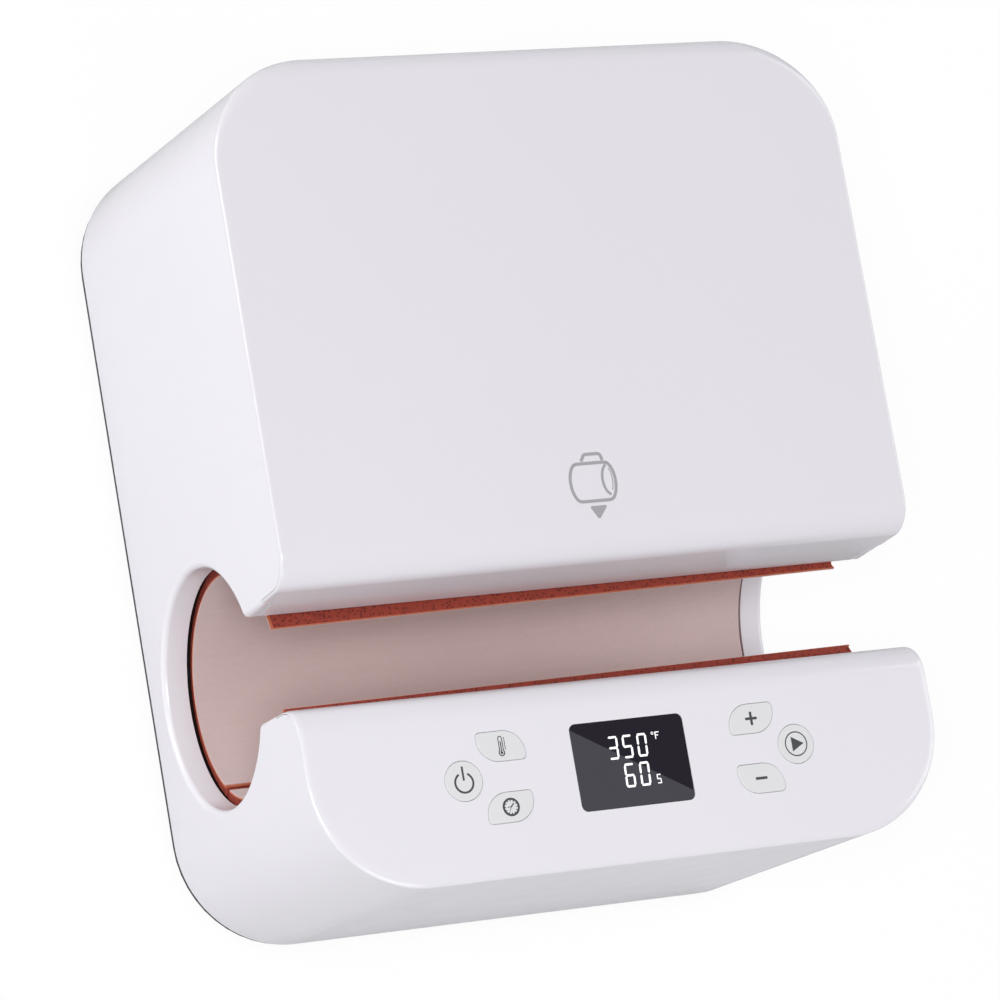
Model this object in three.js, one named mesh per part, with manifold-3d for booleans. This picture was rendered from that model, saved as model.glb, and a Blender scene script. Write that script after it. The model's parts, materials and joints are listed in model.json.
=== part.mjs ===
// Tumbler heat press lying on its base plate.
// Millimetres. X runs along the chamber, -Y is the control panel side, +Y the rear, +Z is up.
// The origin is the middle of the footprint, on the surface that the feet stand on.

import * as THREE from 'three';
import { mergeVertices } from 'three/addons/utils/BufferGeometryUtils.js';
import Module from 'manifold-3d';

// Housing
const HOUSING_WIDTH = 280;
const HOUSING_LENGTH = 334;
const REAR_HEIGHT = 160;
const FRONT_HEIGHT = 150;
const PLAN_RADIUS = 46;
const REAR_EDGE_RADIUS = 8;
const FRONT_EDGE_RADIUS = 5;
const WALL = 3;
const COVER_THICKNESS = 3;
const PARTING_GAP = 0.4;
const LIP_THICKNESS = 1.6;
const LIP_DEPTH = 4;
const LIP_CLEARANCE = 0.35;
const SEAT_GAP = 0.3;
const OVERRUN = 5;

// Chamber and handle slot
const CHAMBER_SETBACK = 99;
const CHAMBER_Z = 69;
const BORE_RADIUS = 48.8;
const COLLAR_WALL = 3;
const COLLAR_DEPTH = 11.5;
const REAR_NOSE_OFFSET = 19.6;
const FRONT_NOSE_OFFSET = 22.6;
const REAR_NOSE_SHARE = 0.315;
const FRONT_NOSE_SHARE = 0.362;
const NOSE_TIP_RADIUS = 3;
const REAR_NOSE_LEAN = 5;
const CHEEK_TIP_SHARE = 0.42;

// Base plate, feet and base screws
const FOOT_HEIGHT = 2.5;
const FOOT_RADIUS = 9;
const FOOT_EDGE = 0.8;
const FOOT_STUB_RADIUS = 2.6;
const FOOT_INSET_X = 34;
const FOOT_INSET_Y = 30;
const BASE_THICKNESS = 3;
const BASE_REVEAL = 0.6;
const BOSS_RADIUS = 4.5;
const BOSS_HEIGHT = 20;
const BOSS_WALL_OVERLAP = 1.2;
const REAR_BOSS_SETBACK = 54;
const MID_BOSS_OFFSET = 73;
const FRONT_BOSS_X = 60;
const SCREW_RADIUS = 1.6;
const SCREW_LENGTH = 15;
const SCREW_HEAD_RADIUS = 3.4;
const SCREW_HEAD_HEIGHT = 1.7;
const SCREW_CLEARANCE = 0.4;
const VENT_COUNT = 9;
const VENT_WIDTH = 3;
const VENT_LENGTH = 46;
const VENT_PITCH = 9;
const VENT_INSET = 74;
const VENT_SETBACK = 74;

// Mat and sponge: radii are about the chamber axis
const MAT_INNER_RADIUS = 44.2;
const MAT_THICKNESS = 1.8;
const SPONGE_THICKNESS = 3.9;
const MAT_END_GAP = 0.3;
const REAR_LIP_INNER_ANGLE = 65;
const REAR_LIP_OUTER_ANGLE = 57.8;
const FRONT_LIP_INNER_ANGLE = 110.7;
const FRONT_LIP_OUTER_ANGLE = 114;
const CREASE_ANGLE = 218.5;
const CREASE_HALF_GAP = 0.7;
const ARM_MAT_END_ANGLE = 288.5;
const FIXED_MAT_END_ANGLE = 285.5;

// Fixed cradle and swing arm
const CRADLE_THICKNESS = 2;
const CRADLE_FRONT_ANGLE = 122;
const CRADLE_REAR_ANGLE = 284;
const ARM_LOWER_ANGLE = 290;
const ARM_TOP_ROOM = 1.2;
const ARM_RIB_HEIGHT = 4.5;
const ARM_RIB_THICKNESS = 3;
const ARM_RIB_SHARES = [-0.75, -0.3, 0.3, 0.75];
const ARM_RIB_LOWER_ANGLE = 304;
const ARM_RIB_UPPER_ANGLE = 408;
const HINGE_OFFSET = 21;
const HINGE_Z = 16.5;
const HINGE_PIN_RADIUS = 2;
const HINGE_PIN_CLEARANCE = 0.4;
const HINGE_PIN_OVERHANG = 4;
const KNUCKLE_RADIUS = 4.8;
const KNUCKLE_WIDTH = 18;
const KNUCKLE_GAP = 4;
const HINGE_EYE_RADIUS = 3.4;
const HINGE_BRACKET_INSET = 26;
const HINGE_BRACKET_WIDTH = 8;
const HINGE_BRACKET_LENGTH = 16;
const SADDLE_INSET = 28;
const SADDLE_THICKNESS = 3;
const SADDLE_FRONT_OFFSET = -46;
const SADDLE_REAR_OFFSET = 7;
const SADDLE_TOP_Z = 43;
const SADDLE_FLANGE = 12;
const SADDLE_FLANGE_THICKNESS = 2.5;

// Gear train
const GEAR_MODULE = 1.5;
const PRESSURE_ANGLE = 25;
const ADDENDUM_SHARE = 0.85;
const DEDENDUM_SHARE = 1.2;
const BACKLASH = 0.4;
const SECTOR_TEETH = 104;
const SECTOR_FIRST_TOOTH = -4;
const SECTOR_LAST_TOOTH = 2;
const SECTOR_MARGIN_ANGLE = 2;
const SECTOR_THICKNESS = 7;
const SECTOR_INNER_RADIUS = 56;
const SECTOR_INSET = 52;
const PINION_TEETH = 12;
const PINION_WIDTH = 10;
const PINION_DIRECTION = 48;
const SHAFT_RADIUS = 4;
const SHAFT_OVERHANG = 7;
const SHAFT_FIT = 0.3;
const SHAFT_GEAR_TEETH = 30;
const SHAFT_GEAR_WIDTH = 8;
const SHAFT_GEAR_HOLES = 5;
const SHAFT_GEAR_HOLE_RADIUS = 3.4;
const SHAFT_GEAR_HOLE_CIRCLE = 13;
const MOTOR_DIRECTION = -20;
const MOTOR_SHAFT_RADIUS = 3;
const STAND_INSET = 36;
const STAND_THICKNESS = 6;
const STAND_TOP_WIDTH = 22;
const STAND_FOOT_WIDTH = 40;
const BUSH_WALL = 2;
const BUSH_LENGTH = 7;
const BUSH_FLANGE = 2;
const BUSH_FLANGE_THICKNESS = 1.5;

// Motor
const GEARBOX_RADIUS = 18.5;
const GEARBOX_LENGTH = 26;
const MOTOR_RADIUS = 17;
const MOTOR_LENGTH = 34;
const MOTOR_NECK_RADIUS = 6;
const MOTOR_NECK_LENGTH = 3;
const MOTOR_BRACKET_THICKNESS = 2.5;
const MOTOR_BRACKET_MARGIN = 3;
const MOTOR_BRACKET_FOOT = 30;
const MOTOR_BRACKET_X = 6;

// Switch, cut-out and sensor
const LIMIT_SWITCH_SIZE = [20, 7, 11];
const LIMIT_SWITCH_X = 46;
const LIMIT_SWITCH_OFFSET = 53;
const LIMIT_POST_TOP = 29;
const LIMIT_LEVER_LENGTH = 5;
const LIMIT_LEVER_THICKNESS = 0.8;
const CUTOUT_RADIUS = 8;
const CUTOUT_THICKNESS = 6;
const CUTOUT_FLANGE_RADIUS = 11;
const CUTOUT_FLANGE_THICKNESS = 1;
const CUTOUT_X = 40;
const SENSOR_SIZE = [14, 5, 5];
const SENSOR_ANGLE = 340;
const SENSOR_SHARE = 0.5;

// Power board, transformer, heat sink and mains inlet
const BOARD_THICKNESS = 1.6;
const POWER_BOARD_SIZE = [92, 74];
const POWER_BOARD_X = -49;
const POWER_BOARD_SETBACK = 74;
const POWER_BOARD_Z = 12;
const BOARD_POST_RADIUS = 3;
const BOARD_POST_INSET = 6;
const TRANSFORMER_SIZE = [34, 28, 24];
const TRANSFORMER_CORE = [40, 14, 18];
const TRANSFORMER_OFFSET = [-20, 14];
const CAPACITOR_RADIUS = 9;
const CAPACITOR_HEIGHT = 26;
const CAPACITOR_OFFSET = [12, 20];
const RELAY_SIZE = [19, 15, 15];
const RELAY_OFFSET = [28, -20];
const SINK_BASE = [46, 4, 26];
const SINK_FIN_COUNT = 6;
const SINK_FIN = [2, 10];
const SINK_OFFSET = [-14, -24];
const INLET_X = -66;
const INLET_Z = 34;
const INLET_CUTOUT = [27, 19.8];
const INLET_FLANGE = [48, 24];
const INLET_FLANGE_THICKNESS = 2;
const INLET_FLANGE_RADIUS = 5;
const INLET_BODY_DEPTH = 22;
const INLET_SOCKET = [24.4, 16.6];
const INLET_SOCKET_DEPTH = 15;
const INLET_SOCKET_CHAMFER = 4;
const INLET_PIN = [2, 4];
const INLET_PIN_LENGTH = 12;
const INLET_PIN_SPACING = 7;
const INLET_PIN_DROP = 2;
const INLET_PAD_MARGIN = 4;

// Control panel: window, keys and board
const PANEL_SETBACK = 39.8;
const WINDOW_SIZE = [50.4, 35];
const WINDOW_RADIUS = 3;
const WINDOW_THICKNESS = 1.5;
const WINDOW_LEDGE = 4;
const KEY_CLEARANCE = 0.35;
const KEY_TRAVEL = 0.8;
const KEY_PROUD = 0.3;
const KEY_FLANGE = 1.2;
const KEY_FLANGE_THICKNESS = 1.1;
const ROUND_KEY_RADIUS = 8;
const ROUND_KEY_X = 74.3;
const LEAF_KEY_WIDTH = 20.5;
const LEAF_KEY_HEIGHT = 12;
const LEAF_ROUND_RADIUS = 9;
const LEAF_TIP_RADIUS = 2;
const LEAF_KEY_X = 56;
const LEAF_KEY_SPACING = 24.4;
const CONTROL_BOARD_SIZE = [172, 52];
const CONTROL_BOARD_DROP = 9.4;
const SWITCH_SIZE = 6;
const DISPLAY_MODULE_SIZE = [45, 29];
const DISPLAY_MODULE_HEIGHT = 5.2;
const PANEL_POST_RADIUS = 3;
const PANEL_POST_INSET = 5;

// Facets of round stretches, in degrees
const FINE_STEP = 7.5;
const COARSE_STEP = 22.5;
const FINE_RADIUS = 20;
const FULL_TURN = 360;
const HALF_TURN = 180;
const QUARTER_TURN = 90;

// Derived levels and lines
const HALF_WIDTH = HOUSING_WIDTH / 2;
const REAR_Y = HOUSING_LENGTH / 2;
const FRONT_Y = -HOUSING_LENGTH / 2;
const CHAMBER_Y = FRONT_Y + CHAMBER_SETBACK;
const BASE_TOP = FOOT_HEIGHT + BASE_THICKNESS;
const SHELL_BOTTOM = BASE_TOP + SEAT_GAP;
const REAR_NOSE_Y = CHAMBER_Y + REAR_NOSE_OFFSET;
const FRONT_NOSE_Y = CHAMBER_Y - FRONT_NOSE_OFFSET;
const REAR_PARTING_Z = REAR_HEIGHT - REAR_EDGE_RADIUS;
const FRONT_PARTING_Z = FRONT_HEIGHT - FRONT_EDGE_RADIUS;
const COVER_SEAT = COVER_THICKNESS + PARTING_GAP;
const SPONGE_INNER_RADIUS = MAT_INNER_RADIUS + MAT_THICKNESS + MAT_END_GAP;
const SPONGE_OUTER_RADIUS = SPONGE_INNER_RADIUS + SPONGE_THICKNESS;
const CRADLE_INNER_RADIUS = SPONGE_OUTER_RADIUS + SEAT_GAP;
const CRADLE_OUTER_RADIUS = CRADLE_INNER_RADIUS + CRADLE_THICKNESS;
const CHAMBER_HALF = HALF_WIDTH - COLLAR_DEPTH - SEAT_GAP;
const SECTOR_RADIUS = GEAR_MODULE * SECTOR_TEETH / 2;
const PINION_RADIUS = GEAR_MODULE * PINION_TEETH / 2;
const SHAFT_GEAR_RADIUS = GEAR_MODULE * SHAFT_GEAR_TEETH / 2;
const BUSH_OUTER_RADIUS = SHAFT_RADIUS + SHAFT_FIT + BUSH_WALL;
const PANEL_UNDERSIDE = FRONT_HEIGHT - COVER_THICKNESS;
const PANEL_Y = FRONT_Y + PANEL_SETBACK;
const HINGE_Y = CHAMBER_Y + HINGE_OFFSET;
const HINGE_BRACKET_X = HALF_WIDTH - HINGE_BRACKET_INSET;
const HINGE_PIN_LENGTH = 2 * HINGE_BRACKET_X + HINGE_BRACKET_WIDTH + 2 * HINGE_PIN_OVERHANG;
const KNUCKLE_REACH = HINGE_BRACKET_X - (HINGE_BRACKET_WIDTH + KNUCKLE_WIDTH) / 2 - KNUCKLE_GAP;
const KNUCKLE_X = [-KNUCKLE_REACH, 0, KNUCKLE_REACH];
const SADDLE_X = HALF_WIDTH - SADDLE_INSET;
const SADDLE_FRONT_Y = CHAMBER_Y + SADDLE_FRONT_OFFSET;
const SADDLE_REAR_Y = CHAMBER_Y + SADDLE_REAR_OFFSET;
const SECTOR_X = HALF_WIDTH - SECTOR_INSET;
const STAND_X = HALF_WIDTH - STAND_INSET;
const SHAFT_LENGTH = 2 * (STAND_X + SHAFT_OVERHANG);
const LIMIT_SWITCH_Y = CHAMBER_Y + LIMIT_SWITCH_OFFSET;
const POWER_BOARD_Y = REAR_Y - POWER_BOARD_SETBACK;
const REAR_BOSS_Y = REAR_Y - REAR_BOSS_SETBACK;
const MID_BOSS_Y = CHAMBER_Y + MID_BOSS_OFFSET;
const VENT_X = HALF_WIDTH - VENT_INSET;
const VENT_Y = REAR_Y - VENT_SETBACK;

const AXIS_X = new THREE.Vector3(1, 0, 0);
const AXIS_Y = new THREE.Vector3(0, 1, 0);
const AXIS_Z = new THREE.Vector3(0, 0, 1);

const wasm = await Module();
wasm.setup();

const group = new THREE.Group();

const FINISHES = {
  gloss_white: { color: 0xe6e5ea, roughness: 0.2, metalness: 0 },
  gloss_cover: { color: 0xdcdbe0, roughness: 0.15, metalness: 0 },
  dark_base: { color: 0x3a3c40, roughness: 0.6, metalness: 0 },
  rubber: { color: 0x2a2a2c, roughness: 0.9, metalness: 0 },
  zinc_screw: { color: 0xb9bcc0, roughness: 0.35, metalness: 1 },
  mat_cloth: { color: 0xc2afab, roughness: 0.95, metalness: 0 },
  sponge: { color: 0x9e3826, roughness: 0.95, metalness: 0 },
  sheet_metal: { color: 0xb4b7bb, roughness: 0.4, metalness: 1 },
  steel: { color: 0x9a9da2, roughness: 0.3, metalness: 1 },
  gear_plastic: { color: 0xe8e4d6, roughness: 0.5, metalness: 0 },
  bronze: { color: 0xa9814a, roughness: 0.4, metalness: 1 },
  motor_can: { color: 0x8d9095, roughness: 0.35, metalness: 1 },
  black_plastic: { color: 0x1d1d20, roughness: 0.5, metalness: 0 },
  board: { color: 0x1f5a34, roughness: 0.5, metalness: 0 },
  winding: { color: 0xc79a3a, roughness: 0.5, metalness: 0 },
  window: { color: 0x14121a, roughness: 0.05, metalness: 0 },
  key: { color: 0xd8dadc, roughness: 0.4, metalness: 0 },
};

// Solids

function toSolid(geometry) {
  const bare = geometry.clone();
  bare.deleteAttribute('normal');
  bare.deleteAttribute('uv');
  const merged = mergeVertices(bare);
  const mesh = new wasm.Mesh({
    numProp: 3,
    vertProperties: new Float32Array(merged.attributes.position.array),
    triVerts: new Uint32Array(merged.index.array),
  });
  return new wasm.Manifold(mesh);
}

function toGeometry(solid) {
  const mesh = solid.getMesh();
  const geometry = new THREE.BufferGeometry();
  const position = new THREE.BufferAttribute(new Float32Array(mesh.vertProperties), 3);
  geometry.setAttribute('position', position);
  geometry.setIndex(new THREE.BufferAttribute(new Uint32Array(mesh.triVerts), 1));
  geometry.computeVertexNormals();
  return geometry;
}

function place(name, solid, finish, position = [0, 0, 0]) {
  const material = new THREE.MeshStandardMaterial(FINISHES[finish]);
  const mesh = new THREE.Mesh(toGeometry(solid), material);
  mesh.name = name;
  mesh.position.set(...position);
  group.add(mesh);
  return mesh;
}

function join(...solids) {
  return solids.reduce((sum, solid) => sum.add(solid));
}

function cut(solid, ...tools) {
  return tools.reduce((rest, tool) => rest.subtract(tool), solid);
}

// Outlines

const radians = THREE.MathUtils.degToRad;

function arc([u, v], radius, from, to) {
  const step = radius > FINE_RADIUS ? FINE_STEP : COARSE_STEP;
  const count = Math.max(1, Math.ceil(Math.abs(to - from) / step));
  const points = [];
  for (let index = 0; index <= count; index += 1) {
    const angle = radians(from + (to - from) * index / count);
    points.push(new THREE.Vector2(u + radius * Math.cos(angle), v + radius * Math.sin(angle)));
  }
  return points;
}

function circle(centre, radius) {
  return arc(centre, radius, 0, FULL_TURN).slice(1);
}

function outline(points) {
  return new THREE.Shape(points.map((point) => (
    Array.isArray(point) ? new THREE.Vector2(...point) : point)));
}

function rectangle([u, v], [width, height], radius = 0) {
  const right = u + width / 2 - radius;
  const left = u - width / 2 + radius;
  const top = v + height / 2 - radius;
  const bottom = v - height / 2 + radius;
  if (radius === 0) {
    return [[left, bottom], [right, bottom], [right, top], [left, top]];
  }
  return [
    ...arc([right, bottom], radius, -QUARTER_TURN, 0),
    ...arc([right, top], radius, 0, QUARTER_TURN),
    ...arc([left, top], radius, QUARTER_TURN, HALF_TURN),
    ...arc([left, bottom], radius, HALF_TURN, HALF_TURN + QUARTER_TURN),
  ];
}

function prism(points, from, to, basis) {
  const settings = { depth: to - from, bevelEnabled: false, curveSegments: 1 };
  const geometry = new THREE.ExtrudeGeometry(outline(points), settings);
  geometry.translate(0, 0, from);
  geometry.applyMatrix4(new THREE.Matrix4().makeBasis(...basis));
  return toSolid(geometry);
}

// Outline in (y, z), run along X.
function alongX(points, from, to) {
  return prism(points, from, to, [AXIS_Y, AXIS_Z, AXIS_X]);
}

// Outline in (z, x), run along Y.
function alongY(points, from, to) {
  return prism(points, from, to, [AXIS_Z, AXIS_X, AXIS_Y]);
}

// Outline in (x, y), run along Z.
function alongZ(points, from, to) {
  return prism(points, from, to, [AXIS_X, AXIS_Y, AXIS_Z]);
}

function box([x, y, z], [width, length, height]) {
  const geometry = new THREE.BoxGeometry(width, length, height);
  geometry.translate(x, y, z);
  return toSolid(geometry);
}

function rod(radius, from, to, [y, z]) {
  return alongX(circle([y, z], radius), from, to);
}

function post(radius, [x, y], from, to) {
  return alongZ(circle([x, y], radius), from, to);
}

function ringSector(inner, outer, fromInner, toInner, fromOuter = fromInner, toOuter = toInner) {
  const centre = [CHAMBER_Y, CHAMBER_Z];
  return [
    ...arc(centre, inner, fromInner, toInner),
    ...arc(centre, outer, toOuter, fromOuter),
  ];
}

function onChamber(radius, angle) {
  return [
    CHAMBER_Y + radius * Math.cos(radians(angle)),
    CHAMBER_Z + radius * Math.sin(radians(angle)),
  ];
}

function fromPoint([y, z], radius, angle) {
  return [y + radius * Math.cos(radians(angle)), z + radius * Math.sin(radians(angle))];
}

// Housing profile in (y, z)

// The rounded tip where a nose face meets the bore: its centre lies one tip radius behind the face
// and one tip radius outside the bore.
function tipCentre(faceY, side) {
  const y = faceY + side * NOSE_TIP_RADIUS;
  const reach = BORE_RADIUS + NOSE_TIP_RADIUS;
  return [y, CHAMBER_Z + Math.sqrt(reach ** 2 - (y - CHAMBER_Y) ** 2)];
}

const REAR_TIP = tipCentre(REAR_NOSE_Y, 1);
const FRONT_TIP = tipCentre(FRONT_NOSE_Y, -1);

function noseRadius(tip, height, share) {
  return (height - tip[1]) * share;
}

function cheekTop(tip, height) {
  return tip[1] + (height - tip[1]) * CHEEK_TIP_SHARE;
}

function noseCentre(tip, side, height, radius, lean) {
  const z = height - radius;
  const rise = z - tip[1];
  const run = (radius - NOSE_TIP_RADIUS + rise * Math.sin(radians(lean))) / Math.cos(radians(lean));
  return [tip[0] + side * run, z];
}

const REAR_NOSE_RADIUS = noseRadius(REAR_TIP, REAR_HEIGHT, REAR_NOSE_SHARE);
const FRONT_NOSE_RADIUS = noseRadius(FRONT_TIP, FRONT_HEIGHT, FRONT_NOSE_SHARE);
const REAR_CHEEK_TOP = cheekTop(REAR_TIP, REAR_HEIGHT);
const FRONT_CHEEK_TOP = cheekTop(FRONT_TIP, FRONT_HEIGHT);
const REAR_NOSE = noseCentre(REAR_TIP, 1, REAR_HEIGHT, REAR_NOSE_RADIUS, REAR_NOSE_LEAN);
const FRONT_NOSE = noseCentre(FRONT_TIP, -1, FRONT_HEIGHT, FRONT_NOSE_RADIUS, 0);
const REAR_FACE_ANGLE = HALF_TURN - REAR_NOSE_LEAN;

// A point of the leaning rear nose face, at a height, set back from the outer face by an inset.
function rearFacePoint(z, inset) {
  const lean = radians(REAR_NOSE_LEAN);
  const [y0, z0] = fromPoint(REAR_TIP, NOSE_TIP_RADIUS - inset, REAR_FACE_ANGLE);
  return [y0 + (z - z0) * Math.tan(lean), z];
}

function rearTopLine(inset) {
  const edge = [REAR_Y - REAR_EDGE_RADIUS, REAR_HEIGHT - REAR_EDGE_RADIUS];
  return [
    ...arc(edge, REAR_EDGE_RADIUS - inset, 0, QUARTER_TURN),
    ...arc(REAR_NOSE, REAR_NOSE_RADIUS - inset, QUARTER_TURN, REAR_FACE_ANGLE),
  ];
}

function frontTopLine(inset) {
  const edge = [FRONT_Y + FRONT_EDGE_RADIUS, FRONT_HEIGHT - FRONT_EDGE_RADIUS];
  return [
    ...arc(FRONT_NOSE, FRONT_NOSE_RADIUS - inset, 0, QUARTER_TURN),
    ...arc(edge, FRONT_EDGE_RADIUS - inset, QUARTER_TURN, HALF_TURN),
  ];
}

function boreAngle(tip) {
  const angle = Math.atan2(tip[1] - CHAMBER_Z, tip[0] - CHAMBER_Y);
  return THREE.MathUtils.radToDeg(angle);
}

function shellProfile() {
  const rearBore = boreAngle(REAR_TIP);
  const frontBore = boreAngle(FRONT_TIP);
  return [
    [FRONT_Y, SHELL_BOTTOM],
    [REAR_Y, SHELL_BOTTOM],
    [REAR_Y, REAR_PARTING_Z - PARTING_GAP],
    [REAR_Y - COVER_SEAT, REAR_PARTING_Z - PARTING_GAP],
    ...rearTopLine(COVER_SEAT),
    rearFacePoint(REAR_CHEEK_TOP, COVER_SEAT),
    rearFacePoint(REAR_CHEEK_TOP, 0),
    ...arc(REAR_TIP, NOSE_TIP_RADIUS, REAR_FACE_ANGLE, HALF_TURN + rearBore),
    ...arc([CHAMBER_Y, CHAMBER_Z], BORE_RADIUS, rearBore, frontBore - FULL_TURN),
    ...arc(FRONT_TIP, NOSE_TIP_RADIUS, frontBore - HALF_TURN, 0),
    [FRONT_NOSE_Y, FRONT_CHEEK_TOP],
    [FRONT_NOSE_Y - COVER_SEAT, FRONT_CHEEK_TOP],
    ...frontTopLine(COVER_SEAT),
    [FRONT_Y + COVER_SEAT, FRONT_PARTING_Z - PARTING_GAP],
    [FRONT_Y, FRONT_PARTING_Z - PARTING_GAP],
  ];
}

function planOutline(inset) {
  const size = [HOUSING_WIDTH - 2 * inset, HOUSING_LENGTH - 2 * inset];
  return rectangle([0, 0], size, PLAN_RADIUS - inset);
}

function planPrism(inset, from = -OVERRUN, to = OVERRUN + Math.max(REAR_HEIGHT, FRONT_HEIGHT)) {
  return alongZ(planOutline(inset), from, to);
}

function bossPlaces() {
  const sideX = HALF_WIDTH - WALL - BOSS_RADIUS + BOSS_WALL_OVERLAP;
  const frontY = FRONT_Y + WALL + BOSS_RADIUS - BOSS_WALL_OVERLAP;
  return [
    [-sideX, REAR_BOSS_Y], [sideX, REAR_BOSS_Y],
    [-sideX, MID_BOSS_Y], [sideX, MID_BOSS_Y],
    [-FRONT_BOSS_X, frontY], [FRONT_BOSS_X, frontY],
  ];
}

const BOSSES = bossPlaces();

// Side shell: wall, cheeks, collars and bosses

function inletPocket() {
  const seat = REAR_Y - INLET_FLANGE_THICKNESS - SEAT_GAP;
  const flange = [INLET_FLANGE[1] + 2 * SEAT_GAP, INLET_FLANGE[0] + 2 * SEAT_GAP];
  const hole = [INLET_CUTOUT[1] + 2 * SEAT_GAP, INLET_CUTOUT[0] + 2 * SEAT_GAP];
  const centre = [INLET_Z, INLET_X];
  return join(
    alongY(rectangle(centre, flange, INLET_FLANGE_RADIUS), seat, REAR_Y + OVERRUN),
    alongY(rectangle(centre, hole), seat - OVERRUN - WALL, REAR_Y),
  );
}

function inletPad() {
  const size = [INLET_FLANGE[1] + 2 * INLET_PAD_MARGIN, INLET_FLANGE[0] + 2 * INLET_PAD_MARGIN];
  const depth = WALL + INLET_FLANGE_THICKNESS;
  return alongY(rectangle([INLET_Z, INLET_X], size), REAR_Y - depth, REAR_Y - WALL / 2);
}

function sideShell() {
  const block = alongX(shellProfile(), -HALF_WIDTH, HALF_WIDTH).intersect(planPrism(0));
  const collarRadius = BORE_RADIUS + COLLAR_WALL;
  const collarX = HALF_WIDTH - COLLAR_DEPTH;
  const tipFoot = CHAMBER_Z + BORE_RADIUS * Math.sin(radians(boreAngle(FRONT_TIP))) - NOSE_TIP_RADIUS;
  const tipY = [REAR_TIP[0] + NOSE_TIP_RADIUS, FRONT_TIP[0] - NOSE_TIP_RADIUS];
  const kept = join(
    alongX(circle([CHAMBER_Y, CHAMBER_Z], collarRadius), collarX, HALF_WIDTH),
    alongX([
      [tipY[1], tipFoot], [tipY[0], tipFoot], [tipY[0], REAR_HEIGHT], [tipY[1], REAR_HEIGHT],
    ], collarX, HALF_WIDTH),
  );
  const mirrored = kept.mirror([1, 0, 0]);
  const cavity = cut(planPrism(WALL), kept, mirrored);
  let shell = cut(block, cavity);
  for (const centre of BOSSES) {
    shell = shell.add(post(BOSS_RADIUS, centre, SHELL_BOTTOM, SHELL_BOTTOM + BOSS_HEIGHT));
  }
  for (const centre of BOSSES) {
    const depth = SCREW_LENGTH + OVERRUN / 2;
    shell = shell.subtract(post(SCREW_RADIUS + SCREW_CLEARANCE, centre, 0, FOOT_HEIGHT + depth));
  }
  return cut(shell.add(inletPad()), inletPocket());
}

// Covers

function coverLip(topLine, from, to) {
  const ring = cut(
    planPrism(WALL + LIP_CLEARANCE),
    planPrism(WALL + LIP_CLEARANCE + LIP_THICKNESS),
  );
  const low = Math.min(...topLine.map((point) => point.y)) - LIP_DEPTH;
  const band = alongX([...topLine, [to, low], [from, low]], -HALF_WIDTH, HALF_WIDTH);
  return ring.intersect(band);
}

function cheekRelief(tip, side, top) {
  const low = tip[1] - 2 * NOSE_TIP_RADIUS;
  const high = top + PARTING_GAP;
  const near = tip[0] - side * 2 * NOSE_TIP_RADIUS;
  const far = tip[0] + side * 3 * NOSE_TIP_RADIUS;
  const points = [[near, low], [far, low], [far, high], [near, high]];
  const right = alongX(points, HALF_WIDTH - COLLAR_DEPTH - SEAT_GAP, HALF_WIDTH + OVERRUN);
  return right.add(right.mirror([1, 0, 0]));
}

function rearCover() {
  const skin = [
    ...rearTopLine(0),
    ...arc(REAR_TIP, NOSE_TIP_RADIUS, REAR_FACE_ANGLE, HALF_TURN + QUARTER_TURN),
    [REAR_TIP[0] + COVER_THICKNESS - NOSE_TIP_RADIUS, REAR_TIP[1] - NOSE_TIP_RADIUS],
    [REAR_TIP[0] + COVER_THICKNESS - NOSE_TIP_RADIUS, REAR_TIP[1]],
    ...rearTopLine(COVER_THICKNESS).reverse(),
    [REAR_Y - COVER_THICKNESS, REAR_PARTING_Z],
  ];
  const body = alongX(skin, -HALF_WIDTH, HALF_WIDTH).intersect(planPrism(0));
  const under = REAR_HEIGHT - COVER_THICKNESS / 2;
  const lipFront = REAR_NOSE[0];
  const lipRear = REAR_Y - REAR_EDGE_RADIUS;
  const low = REAR_HEIGHT - COVER_THICKNESS - LIP_DEPTH;
  const band = alongX([[lipFront, low], [lipRear, low], [lipRear, under], [lipFront, under]],
    -HALF_WIDTH, HALF_WIDTH);
  const ring = cut(planPrism(WALL + LIP_CLEARANCE), planPrism(WALL + LIP_CLEARANCE + LIP_THICKNESS));
  return cut(join(body, ring.intersect(band)), cheekRelief(REAR_TIP, 1, REAR_CHEEK_TOP));
}

// Keys: round ones and leaf-shaped ones with one pointed corner towards the round key

function leafPoints(width, height, round, tip) {
  const right = width / 2;
  const top = height / 2;
  return [
    ...arc([right - round, top - round], round, 0, QUARTER_TURN),
    ...arc([-right + tip, top - tip], tip, QUARTER_TURN, HALF_TURN),
    ...arc([-right + round, -top + round], round, HALF_TURN, HALF_TURN + QUARTER_TURN),
    ...arc([right - tip, -top + tip], tip, HALF_TURN + QUARTER_TURN, FULL_TURN),
  ];
}

const KEYS = [
  { name: 'power_key', x: -ROUND_KEY_X, y: PANEL_Y },
  { name: 'start_key', x: ROUND_KEY_X, y: PANEL_Y },
  { name: 'temperature_key', x: -LEAF_KEY_X, y: PANEL_Y + LEAF_KEY_SPACING / 2, flip: [1, 1] },
  { name: 'time_key', x: -LEAF_KEY_X, y: PANEL_Y - LEAF_KEY_SPACING / 2, flip: [1, -1] },
  { name: 'plus_key', x: LEAF_KEY_X, y: PANEL_Y + LEAF_KEY_SPACING / 2, flip: [-1, 1] },
  { name: 'minus_key', x: LEAF_KEY_X, y: PANEL_Y - LEAF_KEY_SPACING / 2, flip: [-1, -1] },
];

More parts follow.
